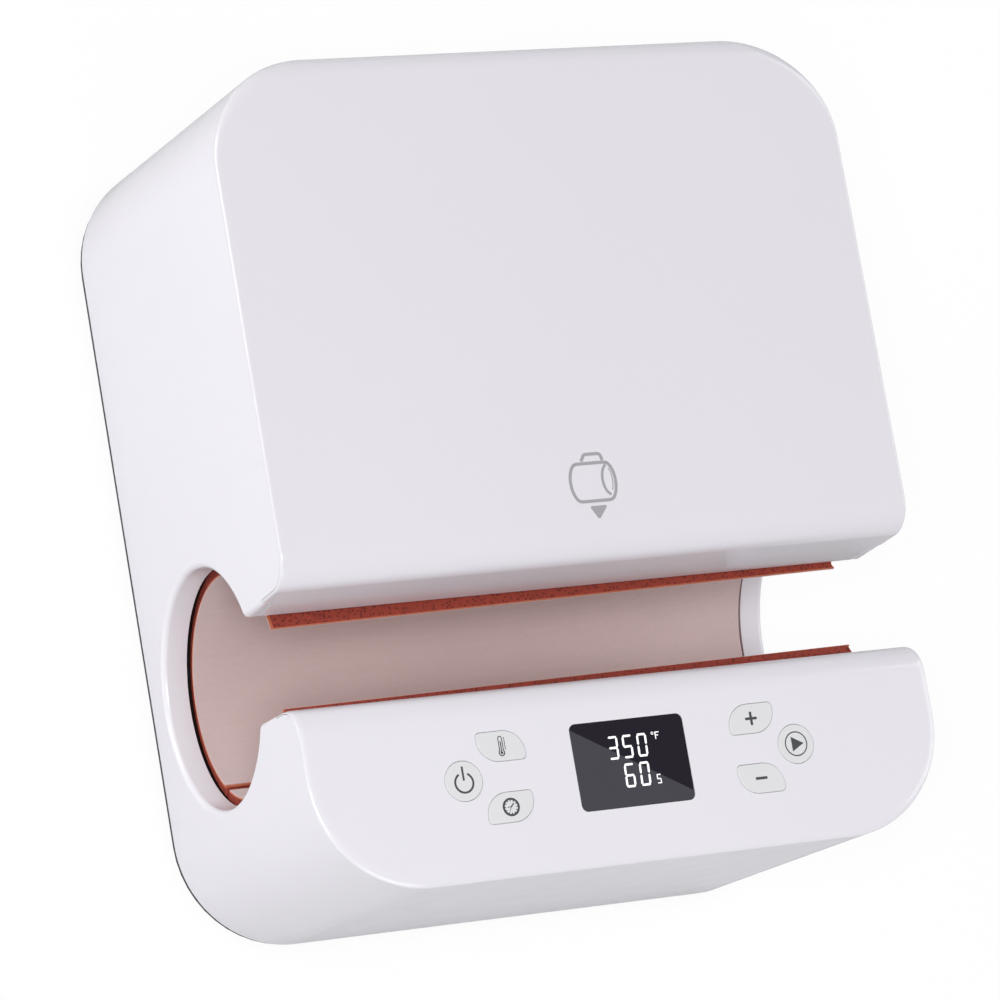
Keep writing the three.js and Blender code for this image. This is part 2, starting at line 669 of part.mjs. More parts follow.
// Outline of a key about its own middle, grown by a margin.
function keyOutline(key, margin) {
  if (!key.flip) {
    return circle([0, 0], ROUND_KEY_RADIUS + margin);
  }
  const points = leafPoints(LEAF_KEY_WIDTH + 2 * margin, LEAF_KEY_HEIGHT + 2 * margin,
    LEAF_ROUND_RADIUS * LEAF_KEY_HEIGHT / (2 * LEAF_ROUND_RADIUS) + margin, LEAF_TIP_RADIUS + margin);
  return points.map((point) => new THREE.Vector2(point.x * key.flip[0], point.y * key.flip[1]));
}

function keySolid(key) {
  const flangeTop = PANEL_UNDERSIDE - SEAT_GAP;
  return join(
    alongZ(keyOutline(key, 0), flangeTop - KEY_FLANGE_THICKNESS / 2, FRONT_HEIGHT + KEY_PROUD),
    alongZ(keyOutline(key, KEY_FLANGE), flangeTop - KEY_FLANGE_THICKNESS, flangeTop),
  );
}

function controlPanel() {
  const tipOuter = arc(FRONT_TIP, NOSE_TIP_RADIUS, 0, -QUARTER_TURN);
  const skin = [
    ...frontTopLine(0),
    [FRONT_Y + COVER_THICKNESS, FRONT_PARTING_Z],
    ...frontTopLine(COVER_THICKNESS).reverse(),
    [FRONT_TIP[0] - COVER_THICKNESS + NOSE_TIP_RADIUS, FRONT_TIP[1]],
    [FRONT_TIP[0] - COVER_THICKNESS + NOSE_TIP_RADIUS, FRONT_TIP[1] - NOSE_TIP_RADIUS],
    ...tipOuter.reverse(),
  ];
  const mouth = alongX(circle([CHAMBER_Y, CHAMBER_Z], CRADLE_INNER_RADIUS + SEAT_GAP),
    -HALF_WIDTH, HALF_WIDTH);
  const body = cut(alongX(skin, -HALF_WIDTH, HALF_WIDTH).intersect(planPrism(0)), mouth,
    cheekRelief(FRONT_TIP, -1, FRONT_CHEEK_TOP));
  const under = FRONT_HEIGHT - COVER_THICKNESS / 2;
  const low = FRONT_HEIGHT - COVER_THICKNESS - LIP_DEPTH;
  const lipFront = FRONT_Y + FRONT_EDGE_RADIUS;
  const lipRear = FRONT_NOSE[0];
  const band = alongX([[lipFront, low], [lipRear, low], [lipRear, under], [lipFront, under]],
    -HALF_WIDTH, HALF_WIDTH);
  const ring = cut(planPrism(WALL + LIP_CLEARANCE), planPrism(WALL + LIP_CLEARANCE + LIP_THICKNESS));
  const centre = [0, PANEL_Y];
  const pocket = WINDOW_SIZE.map((size) => size + 2 * SEAT_GAP);
  const opening = WINDOW_SIZE.map((size) => size - 2 * WINDOW_LEDGE);
  const pocketFloor = FRONT_HEIGHT - WINDOW_THICKNESS - SEAT_GAP;
  const tools = [
    alongZ(rectangle(centre, pocket, WINDOW_RADIUS), pocketFloor, FRONT_HEIGHT + OVERRUN),
    alongZ(rectangle(centre, opening), PANEL_UNDERSIDE - OVERRUN, FRONT_HEIGHT),
  ];
  for (const key of KEYS) {
    const hole = alongZ(keyOutline(key, KEY_CLEARANCE), PANEL_UNDERSIDE - OVERRUN,
      FRONT_HEIGHT + OVERRUN);
    tools.push(hole.translate([key.x, key.y, 0]));
  }
  const boardTop = FRONT_HEIGHT - CONTROL_BOARD_DROP;
  const posts = boardCorners(CONTROL_BOARD_SIZE, centre, PANEL_POST_INSET).map((corner) => (
    post(PANEL_POST_RADIUS, corner, boardTop + SEAT_GAP, under)));
  return cut(join(body, ring.intersect(band), ...posts), ...tools);
}

function boardCorners([width, length], [x, y], inset) {
  const dx = width / 2 - inset;
  const dy = length / 2 - inset;
  return [[x - dx, y - dy], [x + dx, y - dy], [x + dx, y + dy], [x - dx, y + dy]];
}

// Base plate, feet and screws

const FEET = boardCorners([HOUSING_WIDTH, HOUSING_LENGTH], [0, 0], 0).map(([x, y]) => (
  [x - Math.sign(x) * FOOT_INSET_X, y - Math.sign(y) * FOOT_INSET_Y]));
const POWER_POSTS = boardCorners(POWER_BOARD_SIZE, [POWER_BOARD_X, POWER_BOARD_Y], BOARD_POST_INSET);

function basePlate() {
  let plate = planPrism(BASE_REVEAL, FOOT_HEIGHT, BASE_TOP);
  for (const corner of POWER_POSTS) {
    plate = plate.add(post(BOARD_POST_RADIUS, corner, FOOT_HEIGHT, POWER_BOARD_Z));
  }
  const [width, depth] = LIMIT_SWITCH_SIZE;
  plate = plate.add(box(
    [LIMIT_SWITCH_X, LIMIT_SWITCH_Y, (FOOT_HEIGHT + LIMIT_POST_TOP) / 2],
    [width, depth, LIMIT_POST_TOP - FOOT_HEIGHT],
  ));
  const tools = [];
  for (const centre of FEET) {
    tools.push(post(FOOT_STUB_RADIUS + SEAT_GAP, centre, -OVERRUN, BASE_TOP + OVERRUN));
  }
  for (const centre of BOSSES) {
    tools.push(post(SCREW_RADIUS + SCREW_CLEARANCE, centre, -OVERRUN, BASE_TOP + OVERRUN));
  }
  for (let index = 0; index < VENT_COUNT; index += 1) {
    const y = VENT_Y + (index - (VENT_COUNT - 1) / 2) * VENT_PITCH;
    const slot = rectangle([VENT_X, y], [VENT_LENGTH, VENT_WIDTH]);
    tools.push(alongZ(slot, -OVERRUN, BASE_TOP + OVERRUN));
  }
  return cut(plate, ...tools);
}

function revolve(points) {
  const profile = points.map(([radius, z]) => new THREE.Vector2(radius, z));
  const geometry = new THREE.LatheGeometry(profile, Math.round(FULL_TURN / COARSE_STEP));
  geometry.rotateX(Math.PI / 2);
  return toSolid(geometry);
}

function foot() {
  const top = FOOT_HEIGHT - SEAT_GAP;
  return revolve([
    [0, 0],
    [FOOT_RADIUS - FOOT_EDGE, 0],
    [FOOT_RADIUS, FOOT_EDGE],
    [FOOT_RADIUS, top],
    [FOOT_STUB_RADIUS, top],
    [FOOT_STUB_RADIUS, BASE_TOP],
    [0, BASE_TOP],
  ]);
}

function baseScrew() {
  const headTop = FOOT_HEIGHT - SEAT_GAP;
  return revolve([
    [0, headTop - SCREW_HEAD_HEIGHT],
    [SCREW_HEAD_RADIUS - SEAT_GAP, headTop - SCREW_HEAD_HEIGHT],
    [SCREW_HEAD_RADIUS, headTop - SCREW_HEAD_HEIGHT / 2],
    [SCREW_HEAD_RADIUS, headTop],
    [SCREW_RADIUS, headTop],
    [SCREW_RADIUS, headTop + SCREW_LENGTH - SCREW_RADIUS],
    [0, headTop + SCREW_LENGTH],
  ]);
}

// Cradle, swing arm, mats and sponge

function alongChamber(points, half = CHAMBER_HALF) {
  return alongX(points, -half, half);
}

function fixedCradle() {
  return alongChamber(ringSector(
    CRADLE_INNER_RADIUS, CRADLE_OUTER_RADIUS, CRADLE_FRONT_ANGLE, CRADLE_REAR_ANGLE));
}

function armTopAngle(radius) {
  const top = REAR_TIP[1] - NOSE_TIP_RADIUS - ARM_TOP_ROOM;
  return FULL_TURN + THREE.MathUtils.radToDeg(Math.asin((top - CHAMBER_Z) / radius));
}

function swingArm() {
  const plate = alongChamber(ringSector(CRADLE_INNER_RADIUS, CRADLE_OUTER_RADIUS,
    ARM_LOWER_ANGLE, armTopAngle(CRADLE_INNER_RADIUS),
    ARM_LOWER_ANGLE, armTopAngle(CRADLE_OUTER_RADIUS)));
  const middle = (CRADLE_INNER_RADIUS + CRADLE_OUTER_RADIUS) / 2;
  const ribs = ARM_RIB_SHARES.map((share) => alongX(
    ringSector(middle, CRADLE_OUTER_RADIUS + ARM_RIB_HEIGHT, ARM_RIB_LOWER_ANGLE, ARM_RIB_UPPER_ANGLE),
    share * SECTOR_X - ARM_RIB_THICKNESS / 2, share * SECTOR_X + ARM_RIB_THICKNESS / 2));
  const knuckles = KNUCKLE_X.map((x) => rod(
    KNUCKLE_RADIUS, x - KNUCKLE_WIDTH / 2, x + KNUCKLE_WIDTH / 2, [HINGE_Y, HINGE_Z]));
  const pinRoom = rod(HINGE_PIN_RADIUS + HINGE_PIN_CLEARANCE, -HALF_WIDTH, HALF_WIDTH,
    [HINGE_Y, HINGE_Z]);
  const padRoom = alongX(circle([CHAMBER_Y, CHAMBER_Z], CRADLE_INNER_RADIUS),
    -HALF_WIDTH, HALF_WIDTH);
  return cut(join(plate, ...ribs, ...knuckles), pinRoom, padRoom);
}

function hingeBracket() {
  const half = HINGE_BRACKET_LENGTH / 2;
  const profile = [
    [HINGE_Y - half, SHELL_BOTTOM],
    [HINGE_Y + half, SHELL_BOTTOM],
    [HINGE_Y + half, SHELL_BOTTOM + HINGE_PIN_RADIUS],
    ...arc([HINGE_Y, HINGE_Z], HINGE_EYE_RADIUS, 0, HALF_TURN),
    [HINGE_Y - half, SHELL_BOTTOM + HINGE_PIN_RADIUS],
  ];
  const block = alongX(profile, -HINGE_BRACKET_WIDTH / 2, HINGE_BRACKET_WIDTH / 2);
  return cut(block, rod(HINGE_PIN_RADIUS + SEAT_GAP, -HINGE_BRACKET_WIDTH, HINGE_BRACKET_WIDTH,
    [HINGE_Y, HINGE_Z]));
}

function cradleSaddle() {
  const plate = alongX([
    [SADDLE_FRONT_Y, SHELL_BOTTOM],
    [SADDLE_REAR_Y, SHELL_BOTTOM],
    [SADDLE_REAR_Y, SADDLE_TOP_Z],
    [SADDLE_FRONT_Y, SADDLE_TOP_Z],
  ], -SADDLE_THICKNESS / 2, SADDLE_THICKNESS / 2);
  const flange = box(
    [SADDLE_FLANGE / 2, (SADDLE_FRONT_Y + SADDLE_REAR_Y) / 2, SHELL_BOTTOM + SADDLE_FLANGE_THICKNESS / 2],
    [SADDLE_FLANGE, SADDLE_REAR_Y - SADDLE_FRONT_Y, SADDLE_FLANGE_THICKNESS],
  );
  const room = alongX(circle([CHAMBER_Y, CHAMBER_Z], CRADLE_OUTER_RADIUS + SEAT_GAP),
    -SADDLE_FLANGE, 2 * SADDLE_FLANGE);
  return cut(join(plate, flange), room);
}

function lipAngle(radius, inner, outer) {
  const share = (radius - MAT_INNER_RADIUS) / (SPONGE_OUTER_RADIUS - MAT_INNER_RADIUS);
  return inner + (outer - inner) * share;
}

function rearLayer(from, to) {
  const angle = (radius) => FULL_TURN + lipAngle(radius, REAR_LIP_INNER_ANGLE, REAR_LIP_OUTER_ANGLE);
  return alongChamber(ringSector(from, to, ARM_MAT_END_ANGLE, angle(from), ARM_MAT_END_ANGLE, angle(to)));
}

function bottomLayer(from, to) {
  return alongChamber(ringSector(from, to, CREASE_ANGLE + CREASE_HALF_GAP, FIXED_MAT_END_ANGLE));
}

function frontLayer(from, to) {
  const angle = (radius) => lipAngle(radius, FRONT_LIP_INNER_ANGLE, FRONT_LIP_OUTER_ANGLE);
  const crease = CREASE_ANGLE - CREASE_HALF_GAP;
  return alongChamber(ringSector(from, to, angle(from), crease, angle(to), crease));
}

// Gear train

function involute(angle) {
  return Math.tan(angle) - angle;
}

// Half the angle that a tooth takes at a radius, for a gear of a given count.
function toothHalfAngle(teeth, radius) {
  const pitch = GEAR_MODULE * teeth / 2;
  const pressure = radians(PRESSURE_ANGLE);
  const base = pitch * Math.cos(pressure);
  const half = Math.PI / (2 * teeth) - BACKLASH / (4 * pitch);
  const flank = Math.acos(Math.min(1, base / radius));
  return THREE.MathUtils.radToDeg(half + involute(pressure) - involute(flank));
}

function toothRadii(teeth) {
  const pitch = GEAR_MODULE * teeth / 2;
  const root = pitch - DEDENDUM_SHARE * GEAR_MODULE;
  const tip = pitch + ADDENDUM_SHARE * GEAR_MODULE;
  const base = pitch * Math.cos(radians(PRESSURE_ANGLE));
  const foot = Math.max(base, root);
  return base > root ? [root, foot, pitch, tip] : [root, pitch, tip];
}

// Points of one tooth about a centre, in turn from its lower to its upper side.
function toothOutline(teeth, centre, direction) {
  const radii = toothRadii(teeth);
  const rising = radii.map((radius) => (
    fromPoint(centre, radius, direction - toothHalfAngle(teeth, radius))));
  const falling = radii.map((radius) => (
    fromPoint(centre, radius, direction + toothHalfAngle(teeth, radius))));
  return [...rising, ...falling.reverse()];
}

// A gear with a tooth on the given direction.
function gearOutline(teeth, centre, direction) {
  const points = [];
  for (let index = 0; index < teeth; index += 1) {
    points.push(...toothOutline(teeth, centre, direction + index * FULL_TURN / teeth));
  }
  return points;
}

const HINGE = [HINGE_Y, HINGE_Z];
const SHAFT = fromPoint(HINGE, SECTOR_RADIUS + PINION_RADIUS, PINION_DIRECTION);
const MOTOR = fromPoint(SHAFT, SHAFT_GEAR_RADIUS + PINION_RADIUS, MOTOR_DIRECTION);

function sectorRack() {
  const step = FULL_TURN / SECTOR_TEETH;
  const points = [];
  for (let index = SECTOR_FIRST_TOOTH; index <= SECTOR_LAST_TOOTH; index += 1) {
    points.push(...toothOutline(SECTOR_TEETH, HINGE, PINION_DIRECTION + index * step));
  }
  const low = PINION_DIRECTION + (SECTOR_FIRST_TOOTH - 0.5) * step - SECTOR_MARGIN_ANGLE;
  const high = PINION_DIRECTION + (SECTOR_LAST_TOOTH + 0.5) * step + SECTOR_MARGIN_ANGLE;
  const root = SECTOR_RADIUS - DEDENDUM_SHARE * GEAR_MODULE;
  points.push(fromPoint(HINGE, root, high));
  points.push(...arc(HINGE, SECTOR_INNER_RADIUS, high, low));
  points.push(fromPoint(HINGE, root, low));
  const half = SECTOR_THICKNESS / 2;
  const armRoom = alongX(circle([CHAMBER_Y, CHAMBER_Z], CRADLE_OUTER_RADIUS + SEAT_GAP),
    -SECTOR_THICKNESS, SECTOR_THICKNESS);
  return cut(alongX(points, -half, half), armRoom);
}

function pinion() {
  const half = PINION_WIDTH / 2;
  const gap = PINION_DIRECTION + HALF_TURN + HALF_TURN / PINION_TEETH;
  const wheel = alongX(gearOutline(PINION_TEETH, [0, 0], gap), -half, half);
  return cut(wheel, rod(SHAFT_RADIUS + SHAFT_FIT, -PINION_WIDTH, PINION_WIDTH, [0, 0]));
}

function shaftGear() {
  const half = SHAFT_GEAR_WIDTH / 2;
  const wheel = alongX(gearOutline(SHAFT_GEAR_TEETH, [0, 0], MOTOR_DIRECTION), -half, half);
  const tools = [rod(SHAFT_RADIUS + SHAFT_FIT, -PINION_WIDTH, PINION_WIDTH, [0, 0])];
  for (let index = 0; index < SHAFT_GEAR_HOLES; index += 1) {
    const centre = fromPoint([0, 0], SHAFT_GEAR_HOLE_CIRCLE, index * FULL_TURN / SHAFT_GEAR_HOLES);
    tools.push(rod(SHAFT_GEAR_HOLE_RADIUS, -PINION_WIDTH, PINION_WIDTH, centre));
  }
  return cut(wheel, ...tools);
}

function motorPinion() {
  const half = PINION_WIDTH / 2;
  const gap = MOTOR_DIRECTION + HALF_TURN + HALF_TURN / PINION_TEETH;
  const wheel = alongX(gearOutline(PINION_TEETH, [0, 0], gap), -half, half);
  const gearboxFace = MOTOR_BRACKET_X + MOTOR_BRACKET_THICKNESS + SEAT_GAP;
  return join(wheel, rod(MOTOR_SHAFT_RADIUS, 0, gearboxFace - MOTOR_NECK_LENGTH, [0, 0]));
}

function bearingStand() {
  const [y, z] = SHAFT;
  const half = STAND_THICKNESS / 2;
  const profile = [
    [y - STAND_FOOT_WIDTH / 2, SHELL_BOTTOM],
    [y + STAND_FOOT_WIDTH / 2, SHELL_BOTTOM],
    ...arc([y, z], STAND_TOP_WIDTH / 2, 0, HALF_TURN),
  ];
  const bore = rod(BUSH_OUTER_RADIUS + SEAT_GAP, -STAND_THICKNESS, STAND_THICKNESS, SHAFT);
  return cut(alongX(profile, -half, half), bore);
}

function bush() {
  const half = BUSH_LENGTH / 2;
  const sleeve = rod(BUSH_OUTER_RADIUS, -half, half + BUSH_FLANGE_THICKNESS, [0, 0]);
  const flange = rod(BUSH_OUTER_RADIUS + BUSH_FLANGE, half, half + BUSH_FLANGE_THICKNESS, [0, 0]);
  return cut(join(sleeve, flange), rod(SHAFT_RADIUS + SHAFT_FIT, -BUSH_LENGTH, BUSH_LENGTH, [0, 0]));
}

// Motor unit

const GEARBOX_FACE = MOTOR_BRACKET_X + MOTOR_BRACKET_THICKNESS + SEAT_GAP;

function gearbox() {
  const neckRoom = MOTOR_SHAFT_RADIUS + SEAT_GAP;
  const neckFace = GEARBOX_FACE - MOTOR_NECK_LENGTH + SEAT_GAP;
  const body = join(
    rod(GEARBOX_RADIUS, GEARBOX_FACE, GEARBOX_FACE + GEARBOX_LENGTH, MOTOR),
    rod(MOTOR_NECK_RADIUS, neckFace, GEARBOX_FACE + MOTOR_NECK_LENGTH, MOTOR),
  );
  return cut(body, rod(neckRoom, neckFace - OVERRUN, GEARBOX_FACE + MOTOR_NECK_LENGTH, MOTOR));
}

function motorCan() {
  const from = GEARBOX_FACE + GEARBOX_LENGTH + SEAT_GAP;
  return join(
    rod(MOTOR_RADIUS, from, from + MOTOR_LENGTH, MOTOR),
    rod(MOTOR_NECK_RADIUS, from + MOTOR_LENGTH / 2, from + MOTOR_LENGTH + MOTOR_NECK_LENGTH, MOTOR),
  );
}

function motorBracket() {
  const [y, z] = MOTOR;
  const half = GEARBOX_RADIUS + MOTOR_BRACKET_MARGIN;
  const to = MOTOR_BRACKET_X + MOTOR_BRACKET_THICKNESS;
  const plate = alongX([
    [y - half, SHELL_BOTTOM],
    [y + half, SHELL_BOTTOM],
    ...arc([y, z], half, 0, HALF_TURN),
  ], MOTOR_BRACKET_X, to);
  const length = MOTOR_BRACKET_FOOT;
  const footPlate = box(
    [MOTOR_BRACKET_X + length / 2, y, SHELL_BOTTOM + MOTOR_BRACKET_THICKNESS / 2],
    [length, 2 * half, MOTOR_BRACKET_THICKNESS],
  );
  const hole = rod(MOTOR_NECK_RADIUS + SEAT_GAP, 0, to + OVERRUN, MOTOR);
  const shaftRoom = rod(SHAFT_RADIUS + OVERRUN, 0, to + OVERRUN, SHAFT);
  return cut(join(plate, footPlate), hole, shaftRoom);
}

// Limit switch, cut-out and sensor

function limitSwitch() {
  const [width, depth, height] = LIMIT_SWITCH_SIZE;
  const foot = LIMIT_POST_TOP + SEAT_GAP;
  const body = box([LIMIT_SWITCH_X, LIMIT_SWITCH_Y, foot + height / 2], [width, depth, height]);
  const lever = box(
    [LIMIT_SWITCH_X, LIMIT_SWITCH_Y - (depth + LIMIT_LEVER_LENGTH) / 2, foot + height / 2],
    [width / 2, LIMIT_LEVER_LENGTH + LIMIT_LEVER_THICKNESS, LIMIT_LEVER_THICKNESS],
  );
  return join(body, lever);
}

function thermalCutout() {
  const face = CHAMBER_Y - CRADLE_OUTER_RADIUS - SEAT_GAP;
  const centre = [CHAMBER_Z, CUTOUT_X];
  return join(
    alongY(circle(centre, CUTOUT_FLANGE_RADIUS), face - CUTOUT_FLANGE_THICKNESS, face),
    alongY(circle(centre, CUTOUT_RADIUS), face - CUTOUT_THICKNESS, face - CUTOUT_FLANGE_THICKNESS / 2),
  );
}

function temperatureSensor() {
  const [width, depth, length] = SENSOR_SIZE;
  const geometry = new THREE.BoxGeometry(width, depth, length);
  geometry.translate(0, CRADLE_OUTER_RADIUS + SEAT_GAP + depth / 2, 0);
  geometry.rotateX(radians(SENSOR_ANGLE));
  geometry.translate(SENSOR_SHARE * SECTOR_X, CHAMBER_Y, CHAMBER_Z);
  return toSolid(geometry);
}

// Power electronics

function powerBoard() {
  const top = POWER_BOARD_Z + SEAT_GAP + BOARD_THICKNESS;
  const plate = alongZ(rectangle([POWER_BOARD_X, POWER_BOARD_Y], POWER_BOARD_SIZE),
    POWER_BOARD_Z + SEAT_GAP, top);
  const capacitorAt = [POWER_BOARD_X + CAPACITOR_OFFSET[0], POWER_BOARD_Y + CAPACITOR_OFFSET[1]];
  const [width, length, height] = RELAY_SIZE;
  const relayAt = [POWER_BOARD_X + RELAY_OFFSET[0], POWER_BOARD_Y + RELAY_OFFSET[1]];
  return join(
    plate,
    post(CAPACITOR_RADIUS, capacitorAt, top - BOARD_THICKNESS / 2, top + CAPACITOR_HEIGHT),
    box([...relayAt, top + (height - BOARD_THICKNESS) / 2], [width, length, height + BOARD_THICKNESS]),
  );
}

const BOARD_TOP = POWER_BOARD_Z + SEAT_GAP + BOARD_THICKNESS;

function transformer() {
  const foot = BOARD_TOP + SEAT_GAP;
  const at = [POWER_BOARD_X + TRANSFORMER_OFFSET[0], POWER_BOARD_Y + TRANSFORMER_OFFSET[1]];
  const middle = foot + TRANSFORMER_SIZE[2] / 2;
  return join(box([...at, middle], TRANSFORMER_SIZE), box([...at, middle], TRANSFORMER_CORE));
}

function heatSink() {
  const foot = BOARD_TOP + SEAT_GAP;
  const [width, thickness, height] = SINK_BASE;
  const [finThickness, finDepth] = SINK_FIN;
  const x = POWER_BOARD_X + SINK_OFFSET[0];
  const y = POWER_BOARD_Y + SINK_OFFSET[1];
  const solids = [box([x, y, foot + height / 2], SINK_BASE)];
  const pitch = (width - finThickness) / (SINK_FIN_COUNT - 1);
  for (let index = 0; index < SINK_FIN_COUNT; index += 1) {
    const finX = x - (width - finThickness) / 2 + index * pitch;
    const finY = y + (thickness + finDepth) / 2 - thickness / 4;
    solids.push(box([finX, finY, foot + height / 2], [finThickness, finDepth + thickness / 2, height]));
  }
  return join(...solids);
}

function powerInlet() {
  const face = REAR_Y;
  const seat = face - INLET_FLANGE_THICKNESS;
  const centre = [INLET_Z, INLET_X];
  const flange = [INLET_FLANGE[1], INLET_FLANGE[0]];
  const body = [INLET_CUTOUT[1], INLET_CUTOUT[0]];
  const [width, height] = INLET_SOCKET;
  const low = INLET_Z - height / 2;
  const high = INLET_Z + height / 2;
  const left = INLET_X - width / 2;
  const right = INLET_X + width / 2;
  const socket = [
    [low, left], [low, right],
    [high - INLET_SOCKET_CHAMFER, right], [high, right - INLET_SOCKET_CHAMFER],
    [high, left + INLET_SOCKET_CHAMFER], [high - INLET_SOCKET_CHAMFER, left],
  ];
  const shell = cut(
    join(
      alongY(rectangle(centre, flange, INLET_FLANGE_RADIUS), seat, face),
      alongY(rectangle(centre, body), face - INLET_BODY_DEPTH, seat + INLET_FLANGE_THICKNESS / 2),
    ),
    alongY(socket, face - INLET_SOCKET_DEPTH, face + OVERRUN),
  );
  const pinFrom = face - INLET_SOCKET_DEPTH - INLET_FLANGE_THICKNESS;
  const pinTo = face - INLET_SOCKET_DEPTH + INLET_PIN_LENGTH;
  const pinSize = [INLET_PIN[1], INLET_PIN[0]];
  const pins = [-1, 0, 1].map((step) => {
    const rise = step === 0 ? INLET_PIN_DROP : -INLET_PIN_DROP;
    const at = [INLET_Z + rise, INLET_X + step * INLET_PIN_SPACING];
    return alongY(rectangle(at, pinSize), pinFrom, pinTo);
  });
  return join(shell, ...pins);
}

// Panel electronics

function controlBoard() {
  const top = FRONT_HEIGHT - CONTROL_BOARD_DROP;
  const solids = [alongZ(rectangle([0, PANEL_Y], CONTROL_BOARD_SIZE), top - BOARD_THICKNESS, top)];
  const flangeFoot = PANEL_UNDERSIDE - SEAT_GAP - KEY_FLANGE_THICKNESS;
  const switchTop = flangeFoot - KEY_TRAVEL - SEAT_GAP;
  for (const key of KEYS) {
    const foot = top - BOARD_THICKNESS / 2;
    solids.push(box([key.x, key.y, (foot + switchTop) / 2],
      [SWITCH_SIZE, SWITCH_SIZE, switchTop - foot]));
  }
  return join(...solids);
}

function displayModule() {
  const foot = FRONT_HEIGHT - CONTROL_BOARD_DROP + SEAT_GAP;
  return alongZ(rectangle([0, PANEL_Y], DISPLAY_MODULE_SIZE), foot, foot + DISPLAY_MODULE_HEIGHT);
}

function displayWindow() {
  return alongZ(rectangle([0, PANEL_Y], WINDOW_SIZE, WINDOW_RADIUS),
    FRONT_HEIGHT - WINDOW_THICKNESS, FRONT_HEIGHT);
}

// Assembly

place('side_shell', sideShell(), 'gloss_white');
place('rear_cover', rearCover(), 'gloss_cover');
place('control_panel', controlPanel(), 'gloss_cover');
place('base_plate', basePlate(), 'dark_base');

const CORNER_NAMES = ['front_left', 'front_right', 'rear_right', 'rear_left'];
FEET.forEach(([x, y], index) => {
  place(`foot_${CORNER_NAMES[index]}`, foot(), 'rubber', [x, y, 0]);
});
BOSSES.forEach(([x, y], index) => {
  place(`base_screw_${index + 1}`, baseScrew(), 'zinc_screw', [x, y, 0]);
});

place('fixed_cradle', fixedCradle(), 'sheet_metal');
place('swing_arm', swingArm(), 'sheet_metal');
place('hinge_pin', rod(HINGE_PIN_RADIUS, -HINGE_PIN_LENGTH / 2, HINGE_PIN_LENGTH / 2, HINGE), 'steel');

const MAT_RADII = [MAT_INNER_RADIUS, MAT_INNER_RADIUS + MAT_THICKNESS];
const SPONGE_RADII = [SPONGE_INNER_RADIUS, SPONGE_OUTER_RADIUS];
place('heating_mat_rear', rearLayer(...MAT_RADII), 'mat_cloth');
place('heating_mat_bottom', bottomLayer(...MAT_RADII), 'mat_cloth');
place('heating_mat_front', frontLayer(...MAT_RADII), 'mat_cloth');
place('sponge_pad_rear', rearLayer(...SPONGE_RADII), 'sponge');
place('sponge_pad_bottom', bottomLayer(...SPONGE_RADII), 'sponge');
place('sponge_pad_front', frontLayer(...SPONGE_RADII), 'sponge');

for (const [name, side] of [['left', -1], ['right', 1]]) {
  const saddle = side < 0 ? cradleSaddle() : cradleSaddle().mirror([1, 0, 0]);
  place(`cradle_saddle_${name}`, saddle, 'sheet_metal', [side * SADDLE_X, 0, 0]);
  place(`hinge_bracket_${name}`, hingeBracket(), 'sheet_metal', [side * HINGE_BRACKET_X, 0, 0]);
  place(`sector_rack_${name}`, sectorRack(), 'steel', [side * SECTOR_X, 0, 0]);
  place(`pinion_${name}`, pinion(), 'steel', [side * SECTOR_X, ...SHAFT]);
  place(`bearing_stand_${name}`, bearingStand(), 'sheet_metal', [side * STAND_X, 0, 0]);
  const sleeve = side < 0 ? bush() : bush().mirror([1, 0, 0]);
  place(`shaft_bush_${name}`, sleeve, 'bronze', [side * STAND_X, ...SHAFT]);
}
place('cross_shaft', rod(SHAFT_RADIUS, -SHAFT_LENGTH / 2, SHAFT_LENGTH / 2, SHAFT), 'steel');
place('shaft_gear', shaftGear(), 'gear_plastic', [0, ...SHAFT]);

place('motor_pinion', motorPinion(), 'steel', [0, ...MOTOR]);
place('gearbox', gearbox(), 'motor_can');
place('motor', motorCan(), 'motor_can');
place('motor_bracket', motorBracket(), 'sheet_metal');
place('limit_switch', limitSwitch(), 'black_plastic');
place('thermal_cutout', thermalCutout(), 'black_plastic');
place('temperature_sensor', temperatureSensor(), 'black_plastic');

place('power_board', powerBoard(), 'board');
place('transformer', transformer(), 'winding');
place('heat_sink', heatSink(), 'sheet_metal');
place('power_inlet', powerInlet(), 'black_plastic');

place('control_board', controlBoard(), 'board');
place('display_module', displayModule(), 'black_plastic');
place('display_window', displayWindow(), 'window');
for (const key of KEYS) {
  place(key.name, keySolid(key), 'key', [key.x, key.y, 0]);
}

export default group;
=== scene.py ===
"""Tumbler heat press: the visible skin, mats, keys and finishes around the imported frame."""

import json
import math

import bmesh
import bpy
from mathutils import Matrix, Vector


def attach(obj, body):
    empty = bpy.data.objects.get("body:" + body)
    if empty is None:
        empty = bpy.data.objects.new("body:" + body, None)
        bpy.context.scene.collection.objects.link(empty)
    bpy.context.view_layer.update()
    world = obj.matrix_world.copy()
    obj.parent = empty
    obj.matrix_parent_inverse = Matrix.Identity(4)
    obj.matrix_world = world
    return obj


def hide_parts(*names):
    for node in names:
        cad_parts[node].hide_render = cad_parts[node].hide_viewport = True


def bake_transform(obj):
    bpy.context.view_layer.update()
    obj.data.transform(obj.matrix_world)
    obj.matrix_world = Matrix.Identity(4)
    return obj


bl_info = {
    "name": "Tumbler heat press",
    "version": (1, 0, 0),
    "blender": (4, 5, 0),
    "location": "View3D > Sidebar > Heat press",
    "description": "Builds the skin, mats, keys and finishes of a tumbler heat press",
    "category": "Object",
}

